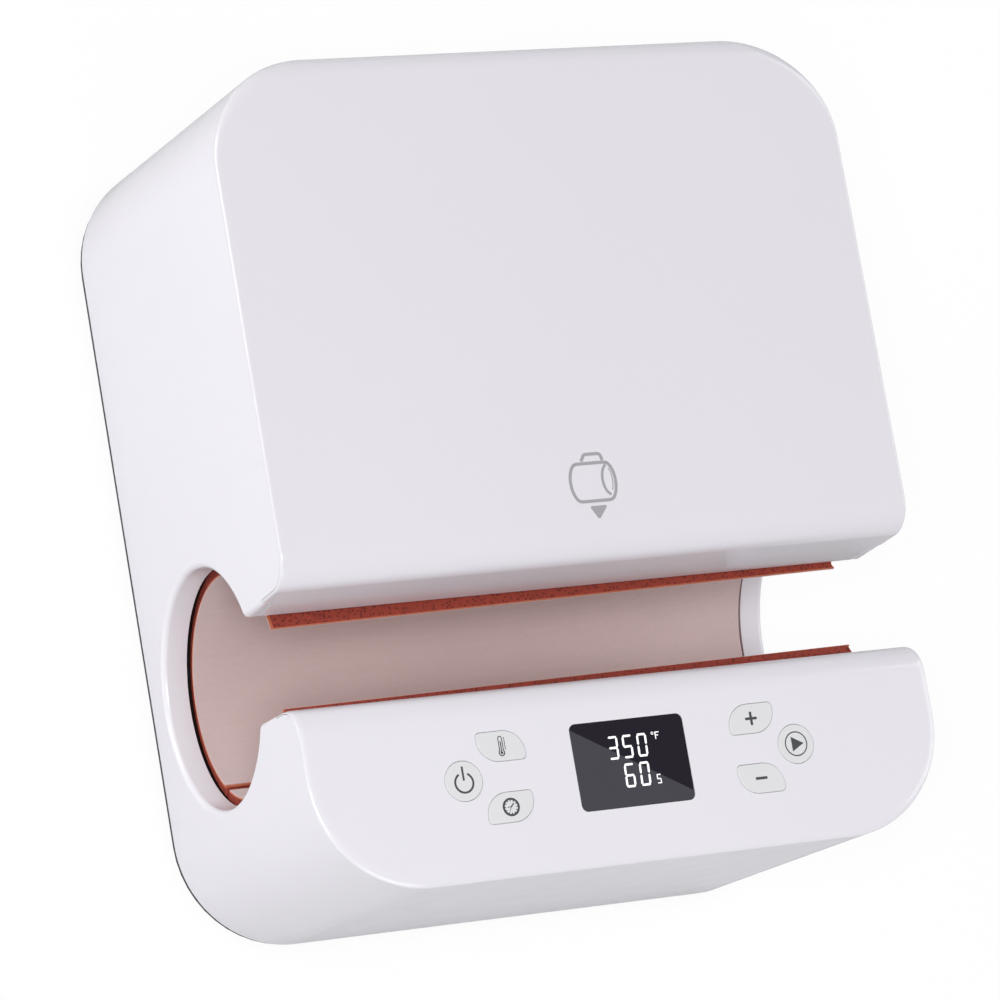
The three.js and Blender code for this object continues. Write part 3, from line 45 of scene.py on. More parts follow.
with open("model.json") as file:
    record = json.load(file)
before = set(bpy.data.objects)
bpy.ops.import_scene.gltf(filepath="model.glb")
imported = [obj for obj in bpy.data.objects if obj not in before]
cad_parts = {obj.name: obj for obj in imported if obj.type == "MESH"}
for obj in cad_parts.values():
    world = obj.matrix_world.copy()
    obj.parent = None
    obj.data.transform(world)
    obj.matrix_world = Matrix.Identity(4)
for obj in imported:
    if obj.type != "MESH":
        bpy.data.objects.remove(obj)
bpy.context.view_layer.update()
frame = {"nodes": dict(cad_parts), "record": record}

# Sizes are in millimetres, Blender takes metres
MM = 0.001

# Housing: the same places as the solids have
HALF_WIDTH = 140.0
REAR_Y = 167.0
FRONT_Y = -167.0
REAR_HEIGHT = 160.0
FRONT_HEIGHT = 150.0
PLAN_RADIUS = 46.0
SHELL_BOTTOM = 5.8
WALL = 3.0
PARTING_GAP = 0.3
CHAMBER = (-68.0, 69.0)
BORE_RADIUS = 48.8
COLLAR_DEPTH = 10.7
TIP_DEPTH = 5.2
TIP_STEP = 0.5
TIP_RADIUS = 3.0
REAR_LEAN = 5.0

# How far the covers' rims lie below their plates
SIDE_DROP = 1.0
REAR_DROP = 8.0
FRONT_DROP = 2.4


def tip_centre(face_y, side):
    """Centre of the rounded tip where a slot face meets the bore."""
    y = face_y + side * TIP_RADIUS
    reach = BORE_RADIUS + TIP_RADIUS
    return (y, CHAMBER[1] + math.sqrt(reach ** 2 - (y - CHAMBER[0]) ** 2))


def nose_centre(tip, side, height, share, lean):
    """Centre and radius of the roll between a block's top and its slot face."""
    radius = (height - tip[1]) * share
    rise = height - radius - tip[1]
    turn = math.radians(lean)
    run = (radius - TIP_RADIUS + rise * math.sin(turn)) / math.cos(turn)
    return (tip[0] + side * run, height - radius), radius


REAR_TIP = tip_centre(CHAMBER[0] + 19.6, 1)
FRONT_TIP = tip_centre(CHAMBER[0] - 22.6, -1)
REAR_NOSE, REAR_NOSE_RADIUS = nose_centre(REAR_TIP, 1, REAR_HEIGHT, 0.315, REAR_LEAN)
FRONT_NOSE, FRONT_NOSE_RADIUS = nose_centre(FRONT_TIP, -1, FRONT_HEIGHT, 0.362, 0.0)
REAR_CHEEK_TOP = REAR_TIP[1] + (REAR_HEIGHT - REAR_TIP[1]) * 0.42
FRONT_CHEEK_TOP = FRONT_TIP[1] + (FRONT_HEIGHT - FRONT_TIP[1]) * 0.42

# Panel
PANEL_Y = -127.2
WINDOW = (50.4, 35.0)
KEY_TOP = 150.3
KEY_GAP = 0.16
ROUND_KEY = 8.0
LEAF = (20.5, 12.0)
LEAF_ROUND = 9.0
LEAF_POINT = 1.8

# Place of each key, and for a leaf which way it is flipped
KEYS = {
    "power": (-74.3, PANEL_Y, None),
    "start": (74.3, PANEL_Y, None),
    "temperature": (-56.0, PANEL_Y + 12.2, (1, 1)),
    "time": (-56.0, PANEL_Y - 12.2, (1, -1)),
    "plus": (56.0, PANEL_Y + 12.2, (-1, 1)),
    "minus": (56.0, PANEL_Y - 12.2, (-1, -1)),
}

# Mat and sponge: half lengths, shift of their middle, radii inside and outside
MAT_HALF = 127.2
MAT_SHIFT = -1.0
SPONGE_HALF = 126.2
CLOTH_RADII = (44.95, 45.25)
SILICONE_RADII = (45.3, 45.95)
SPONGE_RADII = (46.0, 50.2)

# Angle of the crease between the mats, and how far from it stop: front mat, rear cloth, other pads
CREASE = 217.0
CREASE_STRIP = 4.5
CREASE_CLOTH = 1.9
CREASE_PAD = 0.7

# Angles of the lips' slanted cuts, inside and outside, and how much they drift to either end
REAR_LIP = (69.1, 57.8)
REAR_LIP_DRIFT = (-2.0, 0.0)
FRONT_LIP = (111.2, 114.4)
FRONT_LIP_DRIFT = (-1.5, -1.5)

# How much further the right end of both lips reaches, and over how many degrees that fades
LIP_REACH = 2.5
LIP_RUN = 14.0


# Values

class PressSizes(bpy.types.PropertyGroup):
    """Sizes of the skin that can be changed."""

    cover_band: bpy.props.FloatProperty(
        name="Cover band", description="Width of the rounding along the rear cover's sides",
        default=0.0012, unit="LENGTH")
    panel_band: bpy.props.FloatProperty(
        name="Panel band", description="Width of the rounding along the panel's sides",
        default=0.003, unit="LENGTH")
    rear_band: bpy.props.FloatProperty(
        name="Rear band", description="Width of the rounding along the rear edge",
        default=0.008, unit="LENGTH")
    front_band: bpy.props.FloatProperty(
        name="Front band", description="Width of the rounding along the panel's front edge",
        default=0.0052, unit="LENGTH")
    hole_edge: bpy.props.FloatProperty(
        name="Hole edge", description="Rounding of the cheek's edge around the hole and slot",
        default=0.0024, unit="LENGTH")
    cover_wall: bpy.props.FloatProperty(
        name="Cover wall", description="Wall thickness of the two covers",
        default=0.002, unit="LENGTH")


class PressColours(bpy.types.PropertyGroup):
    """Colours of the finishes that can be changed."""

    shell: bpy.props.FloatVectorProperty(
        name="Shell", description="Gloss white of the side shell", subtype="COLOR",
        default=(0.83, 0.815, 0.86))
    cover: bpy.props.FloatVectorProperty(
        name="Covers", description="Gloss white of the rear cover and panel", subtype="COLOR",
        default=(0.775, 0.76, 0.80))
    cloth: bpy.props.FloatVectorProperty(
        name="Cloth", description="Woven face of the heating mat", subtype="COLOR",
        default=(0.71, 0.555, 0.54))
    silicone: bpy.props.FloatVectorProperty(
        name="Silicone", description="Orange edge of the heating mat", subtype="COLOR",
        default=(0.60, 0.17, 0.085))
    sponge: bpy.props.FloatVectorProperty(
        name="Sponge", description="Brick red silicone sponge", subtype="COLOR",
        default=(0.33, 0.047, 0.027))
    window: bpy.props.FloatVectorProperty(
        name="Window", description="Smoked display window", subtype="COLOR",
        default=(0.016, 0.013, 0.021))
    key: bpy.props.FloatVectorProperty(
        name="Keys", description="Light grey of the key caps", subtype="COLOR",
        default=(0.725, 0.725, 0.735))
    mark: bpy.props.FloatVectorProperty(
        name="Marks", description="Dark grey of the printed key symbols", subtype="COLOR",
        default=(0.055, 0.06, 0.068))


# Shader maths

def arithmetic(operation, swapped=False):
    """A method of Wire that adds a Math node; swapped puts the other value first."""
    def method(wire, other):
        return wire.join(operation, *((other, wire) if swapped else (wire, other)))
    return method


class Wire:
    """A shader socket whose arithmetic adds Math nodes."""

    def __init__(self, tree, socket):
        self.tree = tree
        self.socket = socket

    def join(self, operation, left, right):
        node = self.tree.nodes.new("ShaderNodeMath")
        node.operation = operation
        for index, value in enumerate((left, right)):
            feed(self.tree, node.inputs[index], value)
        return Wire(self.tree, node.outputs[0])

    __add__ = arithmetic("ADD")
    __radd__ = arithmetic("ADD", swapped=True)
    __sub__ = arithmetic("SUBTRACT")
    __rsub__ = arithmetic("SUBTRACT", swapped=True)
    __mul__ = arithmetic("MULTIPLY")
    __rmul__ = arithmetic("MULTIPLY", swapped=True)
    __gt__ = arithmetic("GREATER_THAN")
    __lt__ = arithmetic("LESS_THAN")
    top = arithmetic("MAXIMUM")

    def sine(self):
        return self.join("SINE", self, 0.0)


def feed(tree, socket, value):
    """Links a wire to a socket, or sets a plain value on it."""
    if isinstance(value, Wire):
        tree.links.new(value.socket, socket)
    elif hasattr(value, "__len__") and len(value) == 3 and len(socket.default_value) == 4:
        socket.default_value = (*value, 1.0)
    else:
        socket.default_value = value


class Nodes:
    """A node tree that grows by one method."""

    def __init__(self, tree):
        self.tree = tree

    def node(self, kind, settings=None, inputs=None, output=0):
        """Adds a node: its settings come first, then the values or links of its sockets."""
        node = self.tree.nodes.new(kind)
        for key, value in (settings or {}).items():
            setattr(node, key, value)
        for key, value in (inputs or {}).items():
            feed(self.tree, node.inputs[key], value)
        return Wire(self.tree, node.outputs[output])

    def parts(self, vector):
        """The three numbers of a vector."""
        split = self.node("ShaderNodeSeparateXYZ", inputs={0: vector}).socket.node
        return [Wire(self.tree, socket) for socket in split.outputs]


class Finish(Nodes):
    """One material: a Principled shader and the nodes that vary it over the surface."""

    def __init__(self, name, **constants):
        self.material = bpy.data.materials.new(name)
        self.material.use_nodes = True
        super().__init__(self.material.node_tree)
        self.shader = self.tree.nodes["Principled BSDF"]
        for key, value in constants.items():
            self.set(key.replace("_", " ").title().replace("Ior", "IOR"), value)

    def set(self, socket, value):
        feed(self.tree, self.shader.inputs[socket], value)

    def place(self, kind="Object"):
        return self.node("ShaderNodeTexCoord", output={"Object": 3, "UV": 2}[kind])

    def stretched(self, scale, kind="Object"):
        return self.node("ShaderNodeMapping", inputs={"Vector": self.place(kind), "Scale": scale})

    def noise(self, scale, detail=3.0, vector=None):
        return self.node("ShaderNodeTexNoise", inputs={
            "Vector": vector or self.place(), "Scale": scale, "Detail": detail})

    def pores(self, scale):
        return self.node("ShaderNodeTexVoronoi", inputs={"Vector": self.place(), "Scale": scale})

    def blend(self, factor, first, second):
        return self.node("ShaderNodeMix", {"data_type": "RGBA"},
                         {0: factor, 6: first, 7: second}, output=2)

    def uneven(self, factor, colour, dark, light):
        """Varies the base colour between a darker and a lighter tone."""
        self.set("Base Color", self.blend(factor, shade(colour, dark), shade(colour, light)))

    def bump(self, height, distance):
        values = {"Height": height, "Distance": distance}
        self.set("Normal", self.node("ShaderNodeBump", inputs=values))


def shade(colour, factor):
    return tuple(channel * factor for channel in colour)


def gloss_finish(name, colour, roughness, coat):
    """Injection moulded gloss plastic: slow waviness, fine haze and faint rubbed patches."""
    finish = Finish(name, roughness=roughness, coat_weight=coat, coat_roughness=0.04)
    finish.uneven(finish.noise(9.0, 2.0), colour, 0.985, 1.012)
    finish.set("Roughness", finish.noise(60.0, 4.0) * 0.07 + (roughness - 0.035))
    finish.bump(finish.noise(38.0, 1.0) + finish.noise(420.0, 1.0) * 0.12, 0.00006)
    return finish.material


WARP_PITCH, WEFT_PITCH = 0.00085, 0.00095


def cloth_finish(name, colour):
    """Fine glass cloth: crossing ribs on the sheet's own metres, with uneven tone."""
    finish = Finish(name, roughness=0.86, sheen_weight=0.25, sheen_roughness=0.5)
    across, along, _ = finish.parts(finish.place("UV"))
    warp, weft = ((way * (2 * math.pi / pitch)).sine()
                  for way, pitch in ((across, WARP_PITCH), (along, WEFT_PITCH)))
    weave = warp * weft
    streaks = finish.noise(1.0, 4.0, finish.stretched((12.0, 900.0, 1.0), "UV"))
    tone = finish.noise(26.0, 3.0)
    base = finish.blend(tone, shade(colour, 0.93), shade(colour, 1.06))
    ribbed = finish.blend(weave * 0.5 + 0.5, shade(colour, 0.84), base)
    finish.set("Base Color", finish.blend(streaks * 0.55, ribbed, shade(colour, 1.08)))
    finish.set("Roughness", tone * 0.12 + 0.78)
    finish.bump(weave + streaks * 0.6, 0.00009)
    return finish.material


def silicone_finish(name, colour):
    """Cast silicone edge: satin, slightly cloudy."""
    finish = Finish(name, roughness=0.5)
    cloud = finish.noise(160.0, 3.0)
    finish.uneven(cloud, colour, 0.85, 1.12)
    finish.set("Roughness", cloud * 0.2 + 0.42)
    finish.bump(finish.noise(900.0, 2.0), 0.00004)
    return finish.material


def sponge_finish(name, colour):
    """Foamed silicone: open pores of two sizes, their bottoms darkened with painted shade."""
    finish = Finish(name, roughness=0.92)
    large = finish.pores(620.0)
    small = finish.pores(1500.0)
    pores_and_shade = (large < 0.33).top((small < 0.27) * 0.7)
    tone = finish.noise(140.0, 4.0)
    body = finish.blend(tone, shade(colour, 0.78), shade(colour, 1.25))
    # Painted shade: the pore bottoms are darkened to a quarter of the sponge's colour; the same
    # pores also dent the bump
    finish.set("Base Color", finish.blend(pores_and_shade * 0.65, body, shade(colour, 0.25)))
    finish.set("Roughness", tone * 0.1 + 0.85)
    finish.bump(tone * 0.5 - pores_and_shade, 0.00025)
    return finish.material


def grain_finish(name, colour, roughness=0.62, scale=900.0):
    """Spark textured plastic or rubber."""
    finish = Finish(name, roughness=roughness)
    grain = finish.noise(scale, 2.0)
    finish.uneven(finish.noise(40.0), colour, 0.9, 1.1)
    finish.set("Roughness", grain * 0.16 + (roughness - 0.08))
    finish.bump(grain, 0.00005)
    return finish.material


# Distance from the middle, in metres, beyond which the sheet beside the mats is darkened with
# painted shade
PAINTED_SHADE_FROM = 0.1257


def metal_finish(name, colour, roughness=0.34, along=(4.0, 500.0, 500.0), painted_shade=False):
    """Rolled or turned metal: brushed lines, light wear and, where asked, ends darkened with
    painted shade and made rougher.
    """
    finish = Finish(name, metallic=1.0, roughness=roughness)
    lines = finish.noise(1.0, 4.0, finish.stretched(along))
    wear = finish.noise(70.0, 4.0)
    base = finish.blend(wear, shade(colour, 0.86), shade(colour, 1.06))
    rough = lines * 0.2 + wear * 0.08 + (roughness - 0.14)
    # Painted shade: towards its ends the sheet turns near black, standing in for the shadow in the
    # gap beside the collars
    if painted_shade:
        x, _, _ = finish.parts(finish.place())
        dark = (x * x + wear * 0.0006) > PAINTED_SHADE_FROM ** 2
        base = finish.blend(dark, base, (0.03, 0.02, 0.018))
        rough = rough + dark * 0.3
    finish.set("Base Color", base)
    finish.set("Roughness", rough)
    finish.bump(lines, 0.00002)
    return finish.material


# The window's half with a painted reflection: slope of its slanted edge, and the edge's rise at the
# left, in metres
REFLECTION_SLOPE = 0.583
REFLECTION_RISE = 0.0154


def window_finish(name, colour):
    """Smoked acrylic: hard gloss, with one half lightened by a painted reflection."""
    finish = Finish(name, roughness=0.07, specular_ior_level=0.28)
    x, y, _ = finish.parts(finish.place())
    # Painted reflection: the part of the pane on one side of a slanted line gets a lighter colour
    slant = (x + WINDOW[0] / 2 * MM) * REFLECTION_SLOPE + (y - PANEL_Y * MM)
    painted_reflection = slant < REFLECTION_RISE
    dust = finish.noise(300.0, 3.0)
    finish.set("Base Color", finish.blend(painted_reflection, colour, (0.062, 0.059, 0.072)))
    finish.set("Roughness", dust * 0.04 + 0.05)
    return finish.material


def key_finish(name, colour):
    """Silk matt key cap."""
    finish = Finish(name, roughness=0.36, coat_weight=0.25, coat_roughness=0.2)
    cloud = finish.noise(90.0, 3.0)
    finish.uneven(cloud, colour, 0.975, 1.015)
    finish.set("Roughness", cloud * 0.1 + 0.31)
    finish.bump(finish.noise(1600.0, 1.0), 0.00001)
    return finish.material


def print_finish(name, colour, glow=0.0):
    """Screen print, with a little unevenness in the ink; digits also give light."""
    finish = Finish(name, roughness=0.45)
    ink = finish.noise(700.0, 3.0)
    body = finish.blend(ink, shade(colour, 0.9), shade(colour, 1.1))
    finish.set("Base Color", body)
    if glow:
        finish.set("Emission Color", body)
        finish.set("Emission Strength", glow)
    return finish.material


def board_finish(name, colour):
    """Solder mask with copper tracks that show through a little."""
    finish = Finish(name, roughness=0.4, coat_weight=0.4)
    x, y, _ = finish.parts(finish.place())
    tracks = ((x * 1500.0).sine() > 0.86).top((y * 1100.0).sine() > 0.9)
    patch = finish.noise(35.0) > 0.5
    finish.set("Base Color", finish.blend(tracks * patch, colour, shade(colour, 1.9)))
    finish.set("Roughness", finish.noise(200.0) * 0.15 + 0.32)
    return finish.material


# Modelling helpers

def metres(point):
    return tuple(value * MM for value in point)


def clear_selection():
    if bpy.context.object and bpy.context.object.mode != "OBJECT":
        bpy.ops.object.mode_set(mode="OBJECT")
    bpy.ops.object.select_all(action="DESELECT")


def take(name):
    """Names the object that an operator has just added."""
    piece = bpy.context.object
    piece.name = name
    piece.data.name = name
    return piece


def pick(piece):
    clear_selection()
    piece.select_set(True)
    bpy.context.view_layer.objects.active = piece


def in_edit(piece, *steps):
    """Runs edit-mode steps on a piece with all of it selected."""
    pick(piece)
    bpy.ops.object.mode_set(mode="EDIT")
    bpy.ops.mesh.select_all(action="SELECT")
    for step in steps:
        step()
    bpy.ops.object.mode_set(mode="OBJECT")


def face_out(piece):
    in_edit(piece, lambda: bpy.ops.mesh.remove_doubles(threshold=1e-6),
            lambda: bpy.ops.mesh.normals_make_consistent(inside=False))


def apply_modifier(piece, kind, **settings):
    pick(piece)
    modifier = piece.modifiers.new(kind.title(), kind)
    for key, value in settings.items():
        setattr(modifier, key, value)
    bpy.ops.object.modifier_apply(modifier=modifier.name)


def carve(piece, cutter):
    apply_modifier(piece, "BOOLEAN", object=cutter, operation="DIFFERENCE", solver="EXACT")
    bpy.data.objects.remove(cutter)


def smooth(piece, weighted=True):
    """Shades a piece smooth up to edges of 35 degrees."""
    pick(piece)
    bpy.ops.object.shade_smooth_by_angle(angle=math.radians(35.0))
    if weighted:
        apply_modifier(piece, "WEIGHTED_NORMAL", keep_sharp=True, weight=80)


def sheet_grid(name, columns, rows):
    """A flat grid of the given vertex counts, to be bent in place."""
    clear_selection()
    bpy.ops.mesh.primitive_grid_add(x_subdivisions=columns - 1, y_subdivisions=rows - 1, size=2)
    return take(name)


def bend(piece, columns, where):
    """Moves each vertex of a grid to where(column, row), in millimetres."""
    for index, vertex in enumerate(piece.data.vertices):
        row, column = divmod(index, columns)
        vertex.co = metres(where(column, row))


def slab(name, outline, low, high, turn=None):
    """A prism from an outline in millimetres, run from low to high along Z, then turned."""
    clear_selection()
    bpy.ops.mesh.primitive_circle_add(vertices=len(outline), radius=1, fill_type="NGON")
    piece = take(name)
    for vertex, (u, v) in zip(piece.data.vertices, outline):
        vertex.co = metres((u, v, low))
    in_edit(piece, lambda: bpy.ops.mesh.extrude_region_move(
        TRANSFORM_OT_translate={"value": (0, 0, (high - low) * MM)}))
    if turn:
        piece.data.transform(turn)
    face_out(piece)
    return piece


# Turns a slab so that its own x, y, z lie along the part's x, z, -y
ALONG_Y = Matrix(((1, 0, 0, 0), (0, 0, -1, 0), (0, 1, 0, 0), (0, 0, 0, 1)))


def arc(centre, radius, start, end, count):
    """Points of an arc in degrees, both ends included."""
    angles = (math.radians(start + (end - start) * index / count) for index in range(count + 1))
    return [(centre[0] + radius * math.cos(angle), centre[1] + radius * math.sin(angle))
            for angle in angles]


def rounded(centre, size, radius, count=8):
    """Outline of a rectangle with round corners."""
    x, y = (size[0] / 2 - radius, size[1] / 2 - radius)
    points = []
    for index, (sx, sy) in enumerate(((1, 1), (-1, 1), (-1, -1), (1, -1))):
        corner = (centre[0] + sx * x, centre[1] + sy * y)
        points += arc(corner, radius, 90 * index, 90 * index + 90, count)
    return points


def merge(name, pieces):
    """Joins pieces into one mesh."""
    clear_selection()
    for piece in pieces:
        piece.select_set(True)
    bpy.context.view_layer.objects.active = pieces[0]
    bpy.ops.object.join()
    return take(name)


def dress(piece, finish, body="housing", nodes=()):
    """Gives a piece its finish and the body it rides on, and hides the solids it stands for."""
    piece.data.materials.clear()
    piece.data.materials.append(finish)
    if body:
        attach(piece, body)
    if nodes:
        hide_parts(*nodes)
    return piece


# Covers: a flat plate with a soft rim, bent over the nose

def path_arc(centre, radius, start, end, count):
    """Stations of a rolled stretch: place and outward normal in (y, z)."""
    return [(centre[0] + radius * normal[0], centre[1] + radius * normal[1], normal)
            for normal in arc((0, 0), 1.0, start, end, count)]


def plate_path(outline_y, height, nose, nose_radius, tip, face_angle, side):
    """Stations from the outer outline over the top, the nose and the tip; side is -1 towards -Y."""
    corner_steps, top_steps, face_steps = 24, 10, 4
    up = (0.0, 1.0)
    stations = []
    for index in range(corner_steps + 1):
        turn = math.radians(90.0 * index / corner_steps)
        stations.append((outline_y + side * PLAN_RADIUS * (1 - math.cos(turn)), height, up))
    last = stations[-1][0]
    for index in range(1, top_steps):
        stations.append((last + (nose[0] - last) * index / top_steps, height, up))
    roll = path_arc(nose, nose_radius, 90.0, face_angle, 16)
    curl = path_arc(tip, TIP_RADIUS, face_angle, 270.0 if side < 0 else -90.0, 10)
    (y, z, normal), (end_y, end_z, _) = roll[-1], curl[0]
    shares = (index / face_steps for index in range(1, face_steps))
    face = [(y + (end_y - y) * share, z + (end_z - z) * share, normal) for share in shares]
    return stations + roll + face + curl


def rim_shape(turn, side_band, end_band, side_drop, end_drop):
    """Band width and drop of the rim where its outline faces sideways (0) or outwards (1)."""
    ease = turn * turn * (3 - 2 * turn)
    return side_band + (end_band - side_band) * ease, side_drop + (end_drop - side_drop) * ease


def rim_drop(x, reach, side_band, end_band, end_drop):
    """How far the rim lies below the plate at x, reach millimetres in from the outer outline."""
    corner_x = max(abs(x) - (HALF_WIDTH - PLAN_RADIUS), 0.0)
    corner_y = max(PLAN_RADIUS - reach, 0.0)
    distance = PLAN_RADIUS - math.hypot(corner_x, corner_y)
    turn = math.atan2(corner_y, corner_x) / (math.pi / 2) if corner_x or corner_y else 0.0
    band, drop = rim_shape(turn, side_band, end_band, SIDE_DROP, end_drop)
    left = max(0.0, 1.0 - distance / band)
    return drop * (1 - math.sqrt(max(0.0, 1.0 - left * left)))


def cover_plate(name, stations, outline_y, end_band, end_drop, wall, side_band):
    """The bent plate with its soft rim and its wall."""
    steps = [side_band * share for share in (0, 0.01, 0.05, 0.12, 0.25, 0.45, 0.7, 1.0)]
    steps += [side_band + rise for rise in (1.0, 2.3, 4.0, 6.0, 8.5)]
    inner = 12
    last = steps[-1]
    columns = 2 * len(steps) + inner - 1
    rows = len(stations)
    piece = sheet_grid(name, columns, rows)

    def where(column, row):
        y, z, normal = stations[row]
        reach = abs(y - outline_y) if normal[1] == 1.0 else PLAN_RADIUS + 1.0
        corner = max(PLAN_RADIUS - reach, 0.0)
        half = HALF_WIDTH - PLAN_RADIUS + math.sqrt(max(PLAN_RADIUS ** 2 - corner ** 2, 0.0))
        mirrored = columns - 1 - column
        if column < len(steps):
            x = -(half - steps[column])
        elif mirrored < len(steps):
            x = half - steps[mirrored]
        else:
            share = (column - len(steps) + 1) / inner
            x = (half - last) * (2 * share - 1)
        drop = rim_drop(x, reach, side_band, end_band, end_drop)
        return (x, y - normal[0] * drop, z - normal[1] * drop)

    bend(piece, columns, where)
    if piece.data.polygons[len(piece.data.polygons) // 2].normal.z < 0:
        in_edit(piece, bpy.ops.mesh.flip_normals)
    apply_modifier(piece, "SOLIDIFY", thickness=wall, offset=-1.0, use_even_offset=False)
    face_out(piece)
    return piece


def tongue_cutter(tip, cheek_top, side):
    """Cuts a cover's slot face back to between the cheeks' hooked tips, with round corners."""
    edge = HALF_WIDTH - TIP_DEPTH - PARTING_GAP
    low = tip[1] - TIP_RADIUS
    top = cheek_top + PARTING_GAP
    outer = HALF_WIDTH + 10
    round_low, round_high = 4.0, 1.5
    back, ahead = (8, 12) if side > 0 else (12, 8)
    outline = [(outer, top), (edge + round_high, top)]
    outline += arc((edge + round_high, top - round_high), round_high, 90, 180, 6)[1:]
    outline += arc((edge - round_low, low + round_low), round_low, 0, -90, 8)
    outline += [(edge - round_low, low - 10), (outer, low - 10)]
    left = [(-x, z) for x, z in reversed(outline)]
    return merge("tongue_cut", [
        slab("tongue_cut", half, -(tip[0] + back), -(tip[0] - ahead), ALONG_Y)
        for half in (left, outline)])


class HEATPRESS_OT_rear_cover(bpy.types.Operator):
    """Models the large rear cover with its soft rim and rolled nose"""

    bl_idname = "heatpress.rear_cover"
    bl_label = "Rear cover"

    def execute(self, context):
        sizes, colours = context.scene.press_sizes, context.scene.press_colours
        stations = plate_path(REAR_Y, REAR_HEIGHT, REAR_NOSE, REAR_NOSE_RADIUS, REAR_TIP,
                              180.0 - REAR_LEAN, -1)
        piece = cover_plate("rear_cover_skin", stations, REAR_Y, sizes.rear_band * 1000,
                            REAR_DROP, sizes.cover_wall, sizes.cover_band * 1000)
        carve(piece, tongue_cutter(REAR_TIP, REAR_CHEEK_TOP, 1))
        smooth(piece)
        finish = gloss_finish("cover_gloss", colours.cover, 0.2, 0.6)
        dress(piece, finish, nodes=["rear_cover"])
        return {"FINISHED"}


def leaf_outline(flip, grow):
    """Outline of a leaf shaped key: two round corners and two pointed ones."""
    points = []
    for index, (u, v) in enumerate(((1, 1), (-1, 1), (-1, -1), (1, -1))):
        radius, count = (LEAF_POINT + grow, 5) if index % 2 else (LEAF_ROUND + grow, 12)
        x, y = (size / 2 + grow - radius for size in LEAF)
        points += arc((u * x, v * y), radius, 90 * index, 90 * index + 90, count)
    points = [(x * flip[0], y * flip[1]) for x, y in points]
    return points[::-1] if flip[0] * flip[1] < 0 else points


def key_outline(key, grow=0.0):
    """Outline of a key in its place, grown a little for the hole around it."""
    x, y, flip = KEYS[key]
    if flip is None:
        points = arc((0, 0), ROUND_KEY + grow, 0, 360, 48)[1:]
    else:
        points = leaf_outline(flip, grow)
    return [(x + u, y + v) for u, v in points]


class HEATPRESS_OT_control_panel(bpy.types.Operator):
    """Models the panel cover with its rolled nose, window seat and key holes"""

    bl_idname = "heatpress.control_panel"
    bl_label = "Control panel"

    def execute(self, context):
        sizes, colours = context.scene.press_sizes, context.scene.press_colours
        stations = plate_path(FRONT_Y, FRONT_HEIGHT, FRONT_NOSE, FRONT_NOSE_RADIUS, FRONT_TIP,
                              0.0, 1)
        piece = cover_plate("control_panel_skin", stations, FRONT_Y, sizes.front_band * 1000,
                            FRONT_DROP, sizes.cover_wall, sizes.panel_band * 1000)
        carve(piece, tongue_cutter(FRONT_TIP, FRONT_CHEEK_TOP, -1))
        seat = rounded((0, PANEL_Y), (WINDOW[0] + 0.3, WINDOW[1] + 0.3), 2.75)
        carve(piece, slab("seat_cut", seat, FRONT_HEIGHT - 1.8, FRONT_HEIGHT + 5))
        for key in KEYS:
            hole = key_outline(key, KEY_GAP)
            carve(piece, slab("key_cut", hole, FRONT_HEIGHT - 6, FRONT_HEIGHT + 5))
        smooth(piece)
        finish = gloss_finish("panel_gloss", shade(colours.cover, 1.03), 0.2, 0.6)
        dress(piece, finish, nodes=["control_panel"])
        return {"FINISHED"}


# Side shell

def cheek_outline():
    """Outline of a cheek in (y, z), and the index range of its slot and hole edge."""
    inset = SIDE_DROP + PARTING_GAP
    rear_bore = math.degrees(math.atan2(REAR_TIP[1] - CHAMBER[1], REAR_TIP[0] - CHAMBER[0]))
    front_bore = math.degrees(math.atan2(FRONT_TIP[1] - CHAMBER[1], FRONT_TIP[0] - CHAMBER[0]))
    lean = math.radians(REAR_LEAN)

    def rear_face(z, back):
        base = arc(REAR_TIP, TIP_RADIUS - back, 180 - REAR_LEAN, 180 - REAR_LEAN, 1)[0]
        return (base[0] + (z - base[1]) * math.tan(lean), z)

    corner = REAR_Y - PLAN_RADIUS
    points = [(corner, SHELL_BOTTOM), (corner, REAR_HEIGHT - inset)]
    points += arc(REAR_NOSE, REAR_NOSE_RADIUS - inset, 90, 180 - REAR_LEAN, 14)
    points.append(rear_face(REAR_CHEEK_TOP, inset))
    first = len(points)
    points.append(rear_face(REAR_CHEEK_TOP, 0.0))
    points += arc(REAR_TIP, TIP_RADIUS, 180 - REAR_LEAN, 180 + rear_bore, 10)
    points += arc(CHAMBER, BORE_RADIUS, rear_bore, front_bore - 360, 96)[1:]
    points += arc(FRONT_TIP, TIP_RADIUS, front_bore - 180, 0, 10)[1:]
    points.append((FRONT_TIP[0] + TIP_RADIUS, FRONT_CHEEK_TOP))
    last = len(points) - 1
    points.append((FRONT_TIP[0] + TIP_RADIUS - inset, FRONT_CHEEK_TOP))
    points += arc(FRONT_NOSE, FRONT_NOSE_RADIUS - inset, 0, 90, 14)
    corner = FRONT_Y + PLAN_RADIUS
    points += [(corner, FRONT_HEIGHT - inset), (corner, SHELL_BOTTOM)]
    return points, first, last


